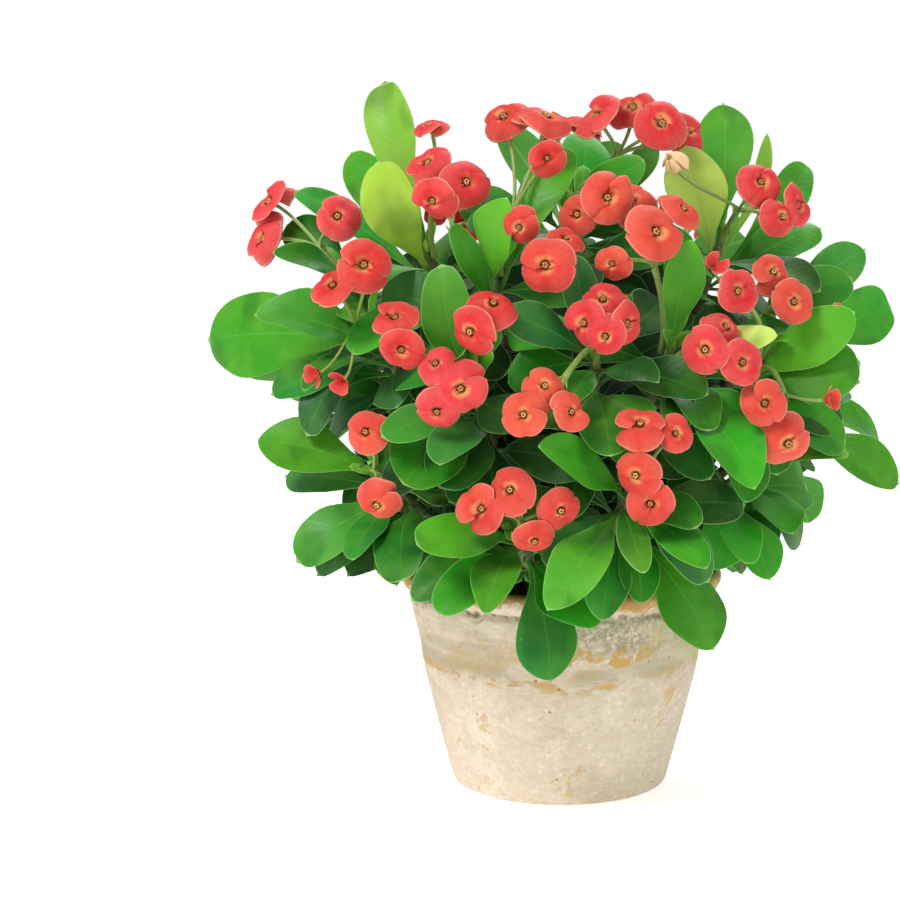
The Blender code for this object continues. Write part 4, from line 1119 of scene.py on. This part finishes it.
def filler_leaves(shoot, own_stem, branch, thicket, moves, look, rng):
    """Shorter leaves round a shoot's lower part and its branch, by the golden angle, where there is
    room; all are dark, as older leaves and as painted shade inside the crown, and the lower ones
    carry more painted shade."""
    _, tip, axis = shoot_axis(shoot)
    side = np.array(axis.orthogonal().normalized())
    axis, rows = np.array(axis), []
    own = {f"leafy_shoot_{shoot}", own_stem}
    limb = np.concatenate([branch, [np.array(tip)]])[::-1]
    down = np.concatenate([[0], np.cumsum(np.linalg.norm(np.diff(limb, axis=0), axis=1))])
    first = 0.25 * SHOOT_LENGTH
    for i in range(look.fillers):
        turn = (i + 0.5) * GOLDEN_ANGLE + 1.9 * int(shoot)
        spot = first + (look.filler_depth - first) * i / look.fillers
        base = np.array([np.interp(spot, down, limb[:, k]) for k in range(3)])
        out = turned(side[None], axis[None], np.array([turn]))[0]
        lean = rng.uniform(-0.35, 0.25)
        reach = look.filler_length * rng.uniform(0.8, 1.25)
        aim = base + unit(out + axis * lean) * reach
        found = thicket.find_room(base, aim, look.filler_width * rng.uniform(0.85, 1.15), own, moves)
        if found:
            # Fillers are painted dark green, partly as older leaves and partly as painted shade in the
            # crown's gaps; the lower ones get more painted shade
            shade = 0.35 * max(0.0, spot / SHOOT_LENGTH - 0.8)
            rows.append((*base, *found[0], found[1], 0.0, rng.uniform(-0.75, -0.10) - shade))
    return rows


def sprout_leaves(shoot, look, rng):
    """Small new leaves that stand round a growing tip, the innermost the smallest and palest."""
    _, tip, axis = shoot_axis(shoot)
    side = np.array(axis.orthogonal().normalized())
    axis, tip, rows = np.array(axis), np.array(tip), []
    for i in range(SPROUTS):
        out = turned(side[None], axis[None], np.array([i * GOLDEN_ANGLE + int(shoot)]))[0]
        reach = look.sprout_length * (1.15 - 0.17 * i) * rng.uniform(0.85, 1.1)
        aim = tip + unit(out * (0.75 - 0.12 * i) + axis) * reach
        foot = tip - axis * 0.001 * (SPROUTS - 1 - i)
        rows.append((*foot, *aim, reach * 0.34, 0.0, 0.45 + 0.12 * i))
    return rows


# ---------------------------------------------------------------- stems and thorns

def add_thorns(skin, path, radii, pitch, look, rng, material):
    """Curved cones that stand round a path by the golden angle: along each, t from 0 to 1, the axis
    is foot + lean L t + along L 0.22 t t, where lean is out and a little along the path, and the
    radius is R (1 - 0.93 t)."""
    steps = np.linalg.norm(np.diff(path, axis=0), axis=1)
    place = np.concatenate([[0], np.cumsum(steps)])
    total = max(int(place[-1] / pitch), 1)
    where = (np.arange(total) + rng.uniform(0.2, 0.8, total)) * pitch
    foot = np.stack([np.interp(where, place, path[:, i]) for i in range(3)], 1)
    thick = np.interp(where, place, radii)
    along, first, _ = (part[0] for part in side_frames(path[None]))
    nearest = np.clip(np.searchsorted(place, where) - 1, 0, len(path) - 1)
    along = along[nearest]
    out = turned(first[nearest], along, np.arange(total) * GOLDEN_ANGLE + rng.uniform(0, 6))
    reach = look.thorn_length * rng.uniform(0.6, 1.25, total)
    t = np.array([0.0, 0.35, 0.75])[None, :, None]
    root = foot + out * (thick * 0.75)[:, None]
    lean = unit(out + along * rng.uniform(0.05, 0.5, (total, 1)))
    paths = root[:, None] + (lean[:, None] * t + along[:, None] * 0.22 * t * t) * reach[:, None, None]
    rings, _ = tube_rings(paths, look.thorn_radius * (1 - 0.93 * t[..., 0]) * np.ones((total, 1)), 5)
    point = root + (lean + along * 0.22) * reach[:, None]
    mark = np.broadcast_to(t[..., None], rings.shape[:3] + (1,))[..., 0]
    skin.add(rings, np.stack([root - out * 0.0003, point], 1), material, reach=mark)


def add_limb(skin, path, radii, rng, material, sides=12, rough=0.09):
    """A closed limb round a path: each ring point's radius is up to the rough share off its own."""
    rings, poles = tube_rings(path[None], radii[None], sides)
    spread = 1 + rough * rng.uniform(-1, 1, (1, *rings.shape[1:3], 1))
    spread[:, -1] = 1
    middle = path[None, :, None]
    rings = middle + (rings - middle) * spread
    skin.add(rings, poles, material, reach=np.zeros(rings.shape[:3]))


# ---------------------------------------------------------------- flowers

def head_facing(place, middle):
    """Which way a flower head looks: out from the plant's focus with its upward part cut down, then
    turned to the front, a little up, and away from its spray's middle. Front is 1 on the plant's
    front and 0 at its back, where no head turns forwards; crest is 1 on the crown's top and 0 below
    it, where heads look less upward. No head on the front looks backwards."""
    crest = float(ease(0.35, 0.41, place.z))
    facing = place - FLOWER_FOCUS
    facing.z *= 0.35 + 0.45 * crest
    facing.normalize()
    front = max(0.0, min(1.0, (0.10 - place.y) / 0.08))
    facing += Vector((0, (0.25 * crest - 0.85) * front, 0.12 + 0.20 * crest))
    away = place - middle
    if away.length > MM:
        facing += away.normalized() * HEAD_SPLAY
    facing.normalize()
    facing.y = min(facing.y, 0.6 - 1.2 * front)
    return facing.normalized()


def spray_design(number):
    """A spray's stalk path, a Bezier curve that leaves its shoot alongside it, its fork, and its
    heads as (place, facing, width)."""
    shoot, fork_share, _, heads = SPRAYS[number]
    start, tip, axis = shoot_axis(shoot)
    spots = [Vector(head[:3]) * MM for head in heads]
    middle = sum(spots, Vector()) / len(spots)
    before = sum(entry[0] == shoot for key, entry in SPRAYS.items() if key < number)
    root = start.lerp(tip, FIRST_STALK - STALK_STEP * before)
    side = middle - root
    side -= axis * side.dot(axis)
    root += side.normalized() * (SHOOT_RADIUS + STALK_RADIUS + GAP)
    fork = root.lerp(middle, fork_share) + axis * FORK_LIFT
    bend = root + axis * 0.4 * (fork - root).length
    stalk = bezier(root, root.lerp(bend, 0.7), fork.lerp(bend, 0.5), fork, STALK_STEPS)
    widths = [head[3] * MM for head in heads]
    return stalk, fork, [(spot, head_facing(spot, middle), width) for spot, width in zip(spots, widths)]


def head_axes(facing, spin):
    """Two directions square to the way a head looks, turned by its spin."""
    turn = facing.to_track_quat("Z", "Y").to_matrix()
    c, s = math.cos(spin), math.sin(spin)
    return np.array(turn @ Vector((c, s, 0))), np.array(turn @ Vector((-s, c, 0)))


def add_bracts(skin, place, facing, width, spin, look, rng, tint, withered):
    """The pair of broad bracts of a head of width D. With a from -A to A round a bract's midline and
    q from the throat to its edge, a point lies R(a) q outwards, and above the head's middle by
      D (rise q - sink q q + lap q a / A - dent q (1 - 0.35 q) fold
         + ruffle q q sin(3 a + phase) + flutes q q sin(7 a + phase))
    so that one side of each bract lies over the other bract and its other side under it. R(a) is a
    share of D, drawn in at both ends and notched by the fold, exp(-(a / c)^2), at the midline. Both
    bracts then tip about the throat: a bud's stand nearly upright and a withered head's hang."""
    bud = width < BUD_WIDTH
    right, ahead = head_axes(facing, spin)
    face = np.array(facing)
    half_angle = 1.6 if bud else (0.55 if withered else 2.2)
    a = (np.linspace(-1, 1, BRACT_RIBS) * half_angle)[None, :, None]
    q = np.concatenate([BRACT_STEPS, BRACT_STEPS[-2:0:-1]])[None, None, :]
    under = np.repeat([0, 1], [len(BRACT_STEPS), len(BRACT_STEPS) - 2])[None, None, :]
    longer, risen, sunk, ruffled, fluted, tinted, shaded, creased, notched, opened = rng.uniform(
        -1, 1, (10, 2, 1, 1))
    ends = 1 - 0.54 * ease(0.64, 1.0, np.abs(a) / half_angle)
    size = (0.80 if bud else 0.460) * width
    reach = size * (1 + 0.03 * longer) * (1 - 0.04 * (a / half_angle) ** 2) * ends
    fold = np.exp(-((a / (0.27 + 0.07 * creased)) ** 2)) * (1 - withered)
    reach = reach * (1.02 - (0.07 + 0.05 * notched) * fold)
    throat = 0.05 * width
    radius = throat + (reach - throat) * q
    tip_up = 0.85 if bud else (-0.75 if withered else 0.24 * opened)
    rise, sink = 0.40 + 0.07 * risen, 0.50 + 0.12 * sunk
    height = width * (
        rise * q - sink * q * q + 0.065 * q * (a / half_angle) - 0.055 * q * (1 - 0.35 * q) * fold
        + look.ruffle * (1 + 2.2 * withered) * q * q * np.sin(3 * a + 3 * ruffled)
        + 0.010 * q * q * np.sin(7 * a + 3 * fluted)
    )
    height = height * (1.0 - 0.5 * bud) + radius * np.sin(tip_up)
    height = height - under * look.bract_thickness * (1 - 0.55 * q)
    heading = a + np.array([0.5 * np.pi, 1.5 * np.pi])[:, None, None]
    out = radius * np.cos(tip_up)
    parts = np.broadcast_arrays(out * np.cos(heading), out * np.sin(heading) * 0.94, height)
    points = np.array(place) - face * 0.0006 + sum(
        part[..., None] * axis for part, axis in zip(parts, (right, ahead, face)))
    poles = np.stack([points[:, 0].mean(1), points[:, -1].mean(1)], 1)
    tone = np.stack(np.broadcast_arrays(
        np.clip(tint + 0.18 * tinted, 0, 1), np.clip(0.40 + 0.45 * shaded, 0, 1),
        float(withered), np.clip(-tint + 0.18 * tinted, 0, 1) + 0 * height), -1)
    turn = a + 7.0 * np.arange(2)[:, None, None] + spin
    # The fold mark also tells the material where to paint shade along the folds
    skin.add(points, poles, tone=tone, reach=q + 0 * height, fold=fold * q, turn=turn + 0 * height)


def add_cup(skin, place, facing, width, spin):
    """The nectar cup of radius C: with r from 0 to 1 and angle b round the head, a point lies
    C r (1 + 0.16 swell cos(5 b)) outwards, at a height of
      C (0.40 (1.15 - 0.9 (2 r - 1.3) squared) + 0.08 lift cos(5 b))
    over the throat, where swell grows from 0 to 1 between r = 0.4 and 0.9, and lift between
    0.5 and 0.9. So it dips in the middle and has five glands."""
    right, ahead = head_axes(facing, spin)
    face = np.array(facing)
    size = 0.047 * max(width, 0.018)
    r = np.array([0.10, 0.40, 0.56, 0.72, 0.88, 1.0, 0.8])[None, :, None]
    b = np.linspace(0, 2 * np.pi, CUP_SIDES, endpoint=False)[None, None, :]
    swell = ease(0.4, 0.9, r) * np.cos(5 * b)
    lift = ease(0.5, 0.9, r) * np.cos(5 * b)
    height = 0.40 * size * (1.15 - 0.9 * (2 * r - 1.3) ** 2) + 0.08 * size * lift
    height[:, -1] = -0.9 * size
    height += 0.022 * width
    out = size * r * (1 + 0.16 * swell)
    # Clockwise seen from the front, because the rings run outwards from the middle
    x, y = out * np.cos(-b), out * np.sin(-b)
    points = np.array(place) + right * x[..., None] + ahead * y[..., None] + face * height[..., None]
    poles = np.array(place) + face * height[:, [0, -1]].mean(2)[..., None]
    skin.add(points, poles, reach=r)


def add_stalks(skin, stalk, fork, heads, look, rng):
    """The main stalk and one stalk to each head: tubes along Bezier curves, which thicken at the
    fork and under a cup, with a pair of scales at the fork, tapering as 1 - 0.9 t squared."""
    t = np.linspace(0, 1, len(stalk))
    radii = look.stalk_radius * (1.15 - 0.2 * t + 0.35 * np.exp(-(((t - 1) / 0.12) ** 2)))
    rings, poles = tube_rings(stalk[None], radii[None], 8)
    skin.add(rings, poles)
    lead = unit(stalk[-1] - stalk[-2])
    for place, facing, width in heads:
        end, face = np.array(place), np.array(facing)
        span = np.linalg.norm(end - np.array(fork))
        path = bezier(fork, np.array(fork) + lead * 0.25 * span, end - face * 0.35 * span,
                      end - face * 0.0010, STALK_STEPS)
        slim = look.stalk_radius * (0.66 + 0.12 * t**3)
        slim = slim * (0.75 if width < BUD_WIDTH else 1.0)
        rings, poles = tube_rings(path[None], slim[None], 8)
        skin.add(rings, poles)
    side = unit(np.cross(lead, rng.uniform(-1, 1, 3)))
    t = np.linspace(0, 1, 4)[None, :, None]
    out = np.stack([side, -side])[:, None]
    scales = np.array(fork) + out * 0.0008 + (out * 0.7 + lead) * 0.0060 * t
    rings, poles = tube_rings(scales, 0.0009 * (1 - 0.9 * t[..., 0] ** 2) * np.ones((2, 1)), 6)
    skin.add(rings, poles)


# ---------------------------------------------------------------- pot and soil

def straight(start, end, first, points):
    """Points on a straight line from start to end, the first at a share of the way."""
    t = np.linspace(first, 1, points)[:, None]
    return (np.array(start) * (1 - t) + np.array(end) * t).tolist()


def pot_profile():
    """The pot's turned outline as a closed loop of (radius, height): down the rounded lip, the
    tapering collar, the soft ledge and the tapering body, under the foot, up through the drain
    hole and over the floor, and up the inside to the mouth. Also how many points are outside."""
    _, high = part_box("pot")
    rim, top = high.x, high.z
    lip = [(rim - 0.0040, top), (rim - 0.0026, top - 0.0002), (rim - 0.0012, top - 0.0010),
           (rim - 0.0003, top - 0.0024), (rim, top - 0.0042), (rim - 0.0002, top - 0.0062),
           (rim - 0.0012, top - 0.0082), (rim - 0.0026, LIP_HEIGHT + 0.0036),
           (rim - 0.0046, LIP_HEIGHT + 0.0022), (rim - 0.0066, LIP_HEIGHT + 0.0008),
           (rim - 0.0067, LIP_HEIGHT - 0.0004), (rim - 0.0058, LIP_HEIGHT - 0.0016),
           (rim - 0.0055, LIP_HEIGHT - 0.0030)]
    collar = straight((rim - 0.0055, LIP_HEIGHT - 0.0030), (rim - 0.0130, LIP_HEIGHT - 0.0345), 0.08, 12)
    ledge = [(0.0868, LEDGE_HEIGHT + 0.0060), (0.0865, LEDGE_HEIGHT + 0.0030), (0.0860, LEDGE_HEIGHT),
             (0.0853, LEDGE_HEIGHT - 0.0032), (0.0847, LEDGE_HEIGHT - 0.0064)]
    body = straight((0.0844, LEDGE_HEIGHT - 0.0080), (0.0677, LEDGE_HEIGHT - 0.0744), 0.05, 18)
    foot = [(0.0672, 0.0020), (0.0664, 0.0006), (0.0650, 0.0), (0.0480, 0.0004), (0.0250, 0.0004),
            (0.0102, 0.0)]
    hole = [(0.0090, 0.0008), (0.0090, 0.0082), (0.0100, 0.0090), (0.0300, 0.0090), (0.0575, 0.0090)]
    inner = straight((0.0590, 0.0094), (0.0925, 0.1300), 0.04, 14)
    inside = rim - WALL
    mouth = [(inside - 0.0006, top - 0.0024), (inside + 0.0002, top - 0.0008), (inside + 0.0014, top)]
    outside = lip + collar + ledge + body + foot
    return np.array(outside + hole + inner + mouth), len(outside)


def closed_turning(profile, angles):
    """Faces of a closed profile carried all the way round."""
    points, turns = len(profile), len(angles)
    i, j = (g.ravel() for g in np.meshgrid(range(turns), range(points), indexing="ij"))
    beside, over = (i + 1) % turns, (j + 1) % points
    return np.stack([i * points + j, i * points + over, beside * points + over, beside * points + j], 1)


def mound(share, top):
    """The soil's height at a share of its radius: its edge's height, and (1 - share) to the power
    of 1.2 of what is left up to its top."""
    return SOIL_EDGE_HEIGHT + (top - SOIL_EDGE_HEIGHT) * (1 - share) ** 1.2


def add_soil_bed(skin, edge, low, top):
    """The soil as a closed solid: with r from the middle to the edge and b round it, the mound plus
    lumps made of sines of r and b, which fade out at the edge; then down the wall to the floor."""
    r = np.concatenate([np.linspace(0.03, 0.985, 26), [1.0, 1.0, 0.62]])[None, :, None]
    b = np.linspace(0, 2 * np.pi, SOIL_SIDES, endpoint=False)[None, None, :]
    lumps = (np.sin(7 * b + 19 * r) * np.sin(23 * r + 2 * np.sin(4 * b)) * 0.5
             + np.sin(17 * b - 31 * r) * 0.3) * 0.0011 * ease(1.0, 0.9, r)
    height = mound(r, top) + lumps
    floor = low + 0.0002
    height[:, -2:] = np.array([SOIL_EDGE_HEIGHT - 0.012, floor])[None, :, None]
    out = edge * r
    out[:, -2] = edge - 0.004
    points = np.stack([out * np.cos(-b), out * np.sin(-b), height], 3)
    skin.add(points, np.array([[[0, 0, height[0, 0].mean()], [0, 0, floor]]]))


def add_granules(skin, edge, top, look, rng):
    """Loose granules: short, lumpy, six-sided tubes of three rings, each with its own place on the
    mound, size, lean and tone."""
    total = look.granules
    spread = np.sqrt(rng.uniform(0.0, 0.97, total))
    turn = rng.uniform(0, 2 * np.pi, total)
    size = look.granule_size * rng.uniform(0.5, 1.5, total)
    place = np.stack([edge * spread * np.cos(turn), edge * spread * np.sin(turn),
                      mound(spread, top) + 0.25 * size], 1)
    place[:, :2] *= np.minimum(1, (edge - size) / np.maximum(edge * spread, 1e-6))[:, None]
    t = np.array([-0.62, 0.0, 0.62])[None, :, None]
    axis = unit(rng.normal(size=(total, 3)) * [1, 1, 0.45])
    stretch = size[:, None, None] * rng.uniform(0.9, 1.5, (total, 1, 1))
    paths = place[:, None] + axis[:, None] * t * stretch
    radii = size[:, None] * np.array([[0.72, 1.0, 0.68]]) * rng.uniform(0.7, 1.1, (total, 3))
    rings, poles = tube_rings(paths, radii, 6)
    middle = paths[:, :, None]
    rings = middle + (rings - middle) * rng.uniform(0.75, 1.1, (*rings.shape[:3], 1))
    skin.add(rings, poles, own=rng.uniform(0, 1, (total, 1, 1)))


# ---------------------------------------------------------------- operators

def settings(name):
    return getattr(bpy.context.scene, f"euphorbia_{name}")


class EUPHORBIA_OT_pot(bpy.types.Operator):
    """Turn the clay pot: a closed profile carried round the upright, a little out of true"""

    bl_idname = "euphorbia.make_pot"
    bl_label = "Make Pot"

    def execute(self, context):
        look = settings("pot")
        profile, outside = pot_profile()
        angle = np.linspace(0, 2 * np.pi, POT_SIDES, endpoint=False)[:, None]
        radius, height = profile[None, :, 0], profile[None, :, 1]
        # The wall strays by sines of the angle and the height, and chips are cut into the rim
        # where two sines of the angle peak together
        sway = look.wobble * (np.sin(2 * angle + 0.7) * 0.5 + np.sin(3 * angle + 9 * height + 1.9) * 0.3
                              + np.sin(40 * height + 2 * np.sin(angle)) * 0.35)
        chips = np.clip(np.sin(13 * angle + 2 * np.sin(3 * angle)) + np.sin(29 * angle + 1) - 1.1, 0, 1)
        chips = look.chips * chips * ease(0.126, 0.134, height)
        beyond_hole = radius > 0.012
        out = radius + np.where(beyond_hole, sway - 0.6 * chips, 0.0)
        rise = np.maximum(height - 0.8 * chips, 0.0)
        points = np.stack([out * np.cos(angle), out * np.sin(angle), rise], 2)
        mesh = bpy.data.meshes.new("pot_shell")
        mesh.from_pydata(points.reshape(-1, 3), [], closed_turning(profile, angle).tolist())
        mesh.polygons.foreach_set("use_smooth", [True] * len(mesh.polygons))
        inner = np.broadcast_to(np.arange(len(profile)) >= outside, points.shape[:2]).astype(np.float32)
        mesh.attributes.new("inner", "FLOAT", "POINT").data.foreach_set("value", inner.ravel())
        mesh.materials.append(pot_material(look))
        settle(new_object("pot_shell", mesh), "clay", "pot")
        return {"FINISHED"}


class EUPHORBIA_OT_soil(bpy.types.Operator):
    """Fill the pot with soil and strew granules over it"""

    bl_idname = "euphorbia.make_soil"
    bl_label = "Make Soil"

    def execute(self, context):
        look = settings("soil")
        low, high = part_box("soil")
        edge = high.x - 0.0004
        bed, grit = Skin(), Skin()
        add_soil_bed(bed, edge, low.z, high.z)
        add_granules(grit, edge, high.z, look, np.random.default_rng(11))
        settle(bed.build("soil_bed", soil_material(look)), "potting_soil", "soil")
        settle(grit.build("soil_granules", granule_material(look)), "potting_soil")
        return {"FINISHED"}


class EUPHORBIA_OT_stems(bpy.types.Operator):
    """Grow the woody stems, with their branches and thorns"""

    bl_idname = "euphorbia.make_stems"
    bl_label = "Make Woody Stems"

    def execute(self, context):
        look = settings("wood")
        bark = bark_material(look, "woody_bark", False)
        spine = thorn_material(look)
        for order, name in enumerate(STEMS):
            rng = np.random.default_rng(30 + order)
            skin = Skin()
            for _, path, foot in stem_branches(name, BRANCH_STEPS):
                radii = np.linspace(foot, BRANCH_END_RADIUS, len(path))
                add_limb(skin, path, radii, rng, 0)
                above = path[:, 2] > THORN_FLOOR
                add_thorns(skin, path[above], radii[above], look.thorn_pitch, look, rng, 1)
            settle(skin.build(f"{name}_bark", bark, spine), "bark", name)
        return {"FINISHED"}


class EUPHORBIA_OT_shoots(bpy.types.Operator):
    """Grow the green upper stems that the leaves stand on"""

    bl_idname = "euphorbia.make_shoots"
    bl_label = "Make Green Shoots"

    def execute(self, context):
        look = settings("wood")
        bark = bark_material(look, "green_bark", True)
        spine = bpy.data.materials["thorn"]
        for shoot in SHOOTS:
            rng = np.random.default_rng(60 + int(shoot))
            start, tip, axis = (np.array(part) for part in shoot_axis(shoot))
            t = np.linspace(0, 1, 9)[:, None]
            path = start + (tip + axis * 0.002 - start) * t
            radii = 1.25 * (SHOOT_RADIUS + (SHOOT_TIP_RADIUS - SHOOT_RADIUS) * t[:, 0])
            skin = Skin()
            add_limb(skin, path, radii, rng, 0, 10, 0.07)
            add_thorns(skin, path[:-2], radii[:-2], 1.4 * look.thorn_pitch, look, rng, 1)
            settle(skin.build(f"green_shoot_{shoot}", bark, spine), "bark", f"leafy_shoot_{shoot}")
        return {"FINISHED"}


class EUPHORBIA_OT_leaves(bpy.types.Operator):
    """Put the leaves on every shoot: the frame's own, new ones at the tip, and fillers inside"""

    bl_idname = "euphorbia.make_leaves"
    bl_label = "Make Leaves"

    def execute(self, context):
        look = settings("leaf")
        blade = leaf_material(look)
        moves = nudges()
        few = moves[(np.abs(moves[:, 0]) % 12 == 0) & (np.abs(moves[:, 1]) != 6)]
        thicket = Thicket(sorted(set(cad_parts) - {"soil"}))
        stem_of = {shoot: stem for stem, (_, shoots) in STEMS.items() for shoot in shoots}
        branches = {shoot: path for stem in STEMS
                    for shoot, path, _ in stem_branches(stem, BRANCH_STEPS)}
        missing = 0
        for shoot, (_, by_hand, more) in SHOOTS.items():
            rng = np.random.default_rng(200 + int(shoot))
            rows = frame_leaves(shoot, moves)
            missing += len(by_hand) + more - len(rows)
            fillers = filler_leaves(shoot, stem_of[shoot], branches[shoot], thicket, few, look, rng)
            skin = Skin()
            add_leaves(skin, rows, look, rng)
            if fillers:
                add_leaves(skin, fillers, look, rng, 14)
            add_leaves(skin, sprout_leaves(shoot, look, rng), look, rng, 9)
            settle(skin.build(f"leaves_{shoot}", blade), "leaf", f"leafy_shoot_{shoot}")
        print(f"leaves without room in the frame: {missing}; fillers: {len(thicket.added)}")
        return {"FINISHED"}


class EUPHORBIA_OT_flowers(bpy.types.Operator):
    """Put the flower sprays on their shoots: stalks, bracts and nectar cups"""

    bl_idname = "euphorbia.make_flowers"
    bl_label = "Make Flower Sprays"

    def execute(self, context):
        look = settings("flower")
        bract, cup, green = bract_material(look), cup_material(look), stalk_material(look)
        for number, (_, _, tint, _) in SPRAYS.items():
            rng = np.random.default_rng(400 + int(number))
            stalk, fork, heads = spray_design(number)
            stalks, bracts, cups = Skin(), Skin(), Skin()
            add_stalks(stalks, stalk, fork, heads, look, rng)
            for i, (place, facing, width) in enumerate(heads):
                spin = rng.uniform(-1.2, 1.2)
                facing = (facing + Vector(rng.uniform(-0.30, 0.30, 3))).normalized()
                width *= rng.uniform(0.92, 1.06)
                withered = (number, i) == WITHERED_HEAD
                for turn in WITHERED_TURNS if withered else (0.0,):
                    add_bracts(bracts, place, facing, width, spin + turn, look, rng, tint, withered)
                add_cup(cups, place, facing, width, spin)
            node = f"flower_spray_{number}"
            settle(stalks.build(f"stalks_{number}", green), "leaf", node)
            settle(bracts.build(f"bracts_{number}", bract), "bract", node)
            settle(cups.build(f"cups_{number}", cup), "bract", node)
        return {"FINISHED"}


def aimed(made, place, aim):
    """Puts a lamp or the camera at a place and turns it to its aim."""
    made.location = place
    made.rotation_euler = (Vector(aim) - Vector(place)).to_track_quat("-Z", "Y").to_euler()
    return made


class EUPHORBIA_OT_stage(bpy.types.Operator):
    """Lay the floor, hang the lights and set up the camera"""

    bl_idname = "euphorbia.make_stage"
    bl_label = "Make Stage"

    def execute(self, context):
        look = settings("stage")
        scene = context.scene
        edge = np.linspace(-look.floor_size / 2, look.floor_size / 2, FLOOR_CELLS + 1)
        x, y = (g.ravel() for g in np.meshgrid(edge, edge))
        i, j = (g.ravel() for g in np.meshgrid(range(FLOOR_CELLS), range(FLOOR_CELLS)))
        a = j * (FLOOR_CELLS + 1) + i
        b = a + FLOOR_CELLS + 1
        mesh = bpy.data.meshes.new("floor")
        mesh.from_pydata(np.stack([x, y, 0 * x], 1), [], np.stack([a, a + 1, b + 1, b], 1).tolist())
        mesh.materials.append(floor_material(look))
        new_object("floor", mesh)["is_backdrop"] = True
        for name, (place, width, tint) in LAMPS.items():
            light = bpy.data.lights.new(name, "AREA")
            light.shape, light.size, light.color = "DISK", width, tint
            light.energy = getattr(look, f"{name}_power")
            aimed(new_object(name, light), place, LAMP_AIM)
        world = bpy.data.worlds.new("pale_sky")
        world.use_nodes = True
        back = world.node_tree.nodes["Background"]
        back.inputs["Color"].default_value = (1.0, 1.0, 1.0, 1.0)
        g = Graph(world.node_tree)
        seen = g.add("LightPath").outputs["Is Camera Ray"]
        g.feed(back.inputs["Strength"], g.maths("MULTIPLY_ADD", seen, SKY_SEEN - look.sky, look.sky))
        scene.world = world
        scene.view_settings.view_transform = "Standard"
        lens = bpy.data.cameras.new("camera")
        lens.lens, lens.sensor_width = look.lens, SENSOR_WIDTH
        scene.camera = aimed(new_object("camera", lens), CAMERA_PLACE, CAMERA_AIM)
        return {"FINISHED"}


# ---------------------------------------------------------------- add-on

GROUPS = {
    "pot": PotSettings,
    "soil": SoilSettings,
    "wood": WoodSettings,
    "leaf": LeafSettings,
    "flower": FlowerSettings,
    "stage": StageSettings,
}
STEPS = {
    EUPHORBIA_OT_pot: "pot",
    EUPHORBIA_OT_soil: "soil",
    EUPHORBIA_OT_stems: "wood",
    EUPHORBIA_OT_shoots: "wood",
    EUPHORBIA_OT_leaves: "leaf",
    EUPHORBIA_OT_flowers: "flower",
    EUPHORBIA_OT_stage: "stage",
}


class EUPHORBIA_PT_panel(bpy.types.Panel):
    """Lists each step of the plant with its settings"""

    bl_idname = "EUPHORBIA_PT_panel"
    bl_label = "Potted Euphorbia"
    bl_space_type = "VIEW_3D"
    bl_region_type = "UI"
    bl_category = "Euphorbia"

    def draw(self, context):
        for name, group in GROUPS.items():
            box = self.layout.box()
            for step in (step for step, of in STEPS.items() if of == name):
                box.operator(step.bl_idname)
            for key in group.__annotations__:
                box.prop(settings(name), key)


CLASSES = (*GROUPS.values(), *STEPS, EUPHORBIA_PT_panel)


def register():
    for kind in CLASSES:
        bpy.utils.register_class(kind)
    for name, group in GROUPS.items():
        setattr(bpy.types.Scene, f"euphorbia_{name}", PointerProperty(type=group))


def unregister():
    for name in GROUPS:
        delattr(bpy.types.Scene, f"euphorbia_{name}")
    for kind in reversed(CLASSES):
        bpy.utils.unregister_class(kind)


def main():
    register()
    bpy.ops.euphorbia.make_pot()
    bpy.ops.euphorbia.make_soil()
    bpy.ops.euphorbia.make_stems()
    bpy.ops.euphorbia.make_shoots()
    bpy.ops.euphorbia.make_leaves()
    bpy.ops.euphorbia.make_flowers()
    bpy.ops.euphorbia.make_stage()


if __name__ == "__main__":
    main()
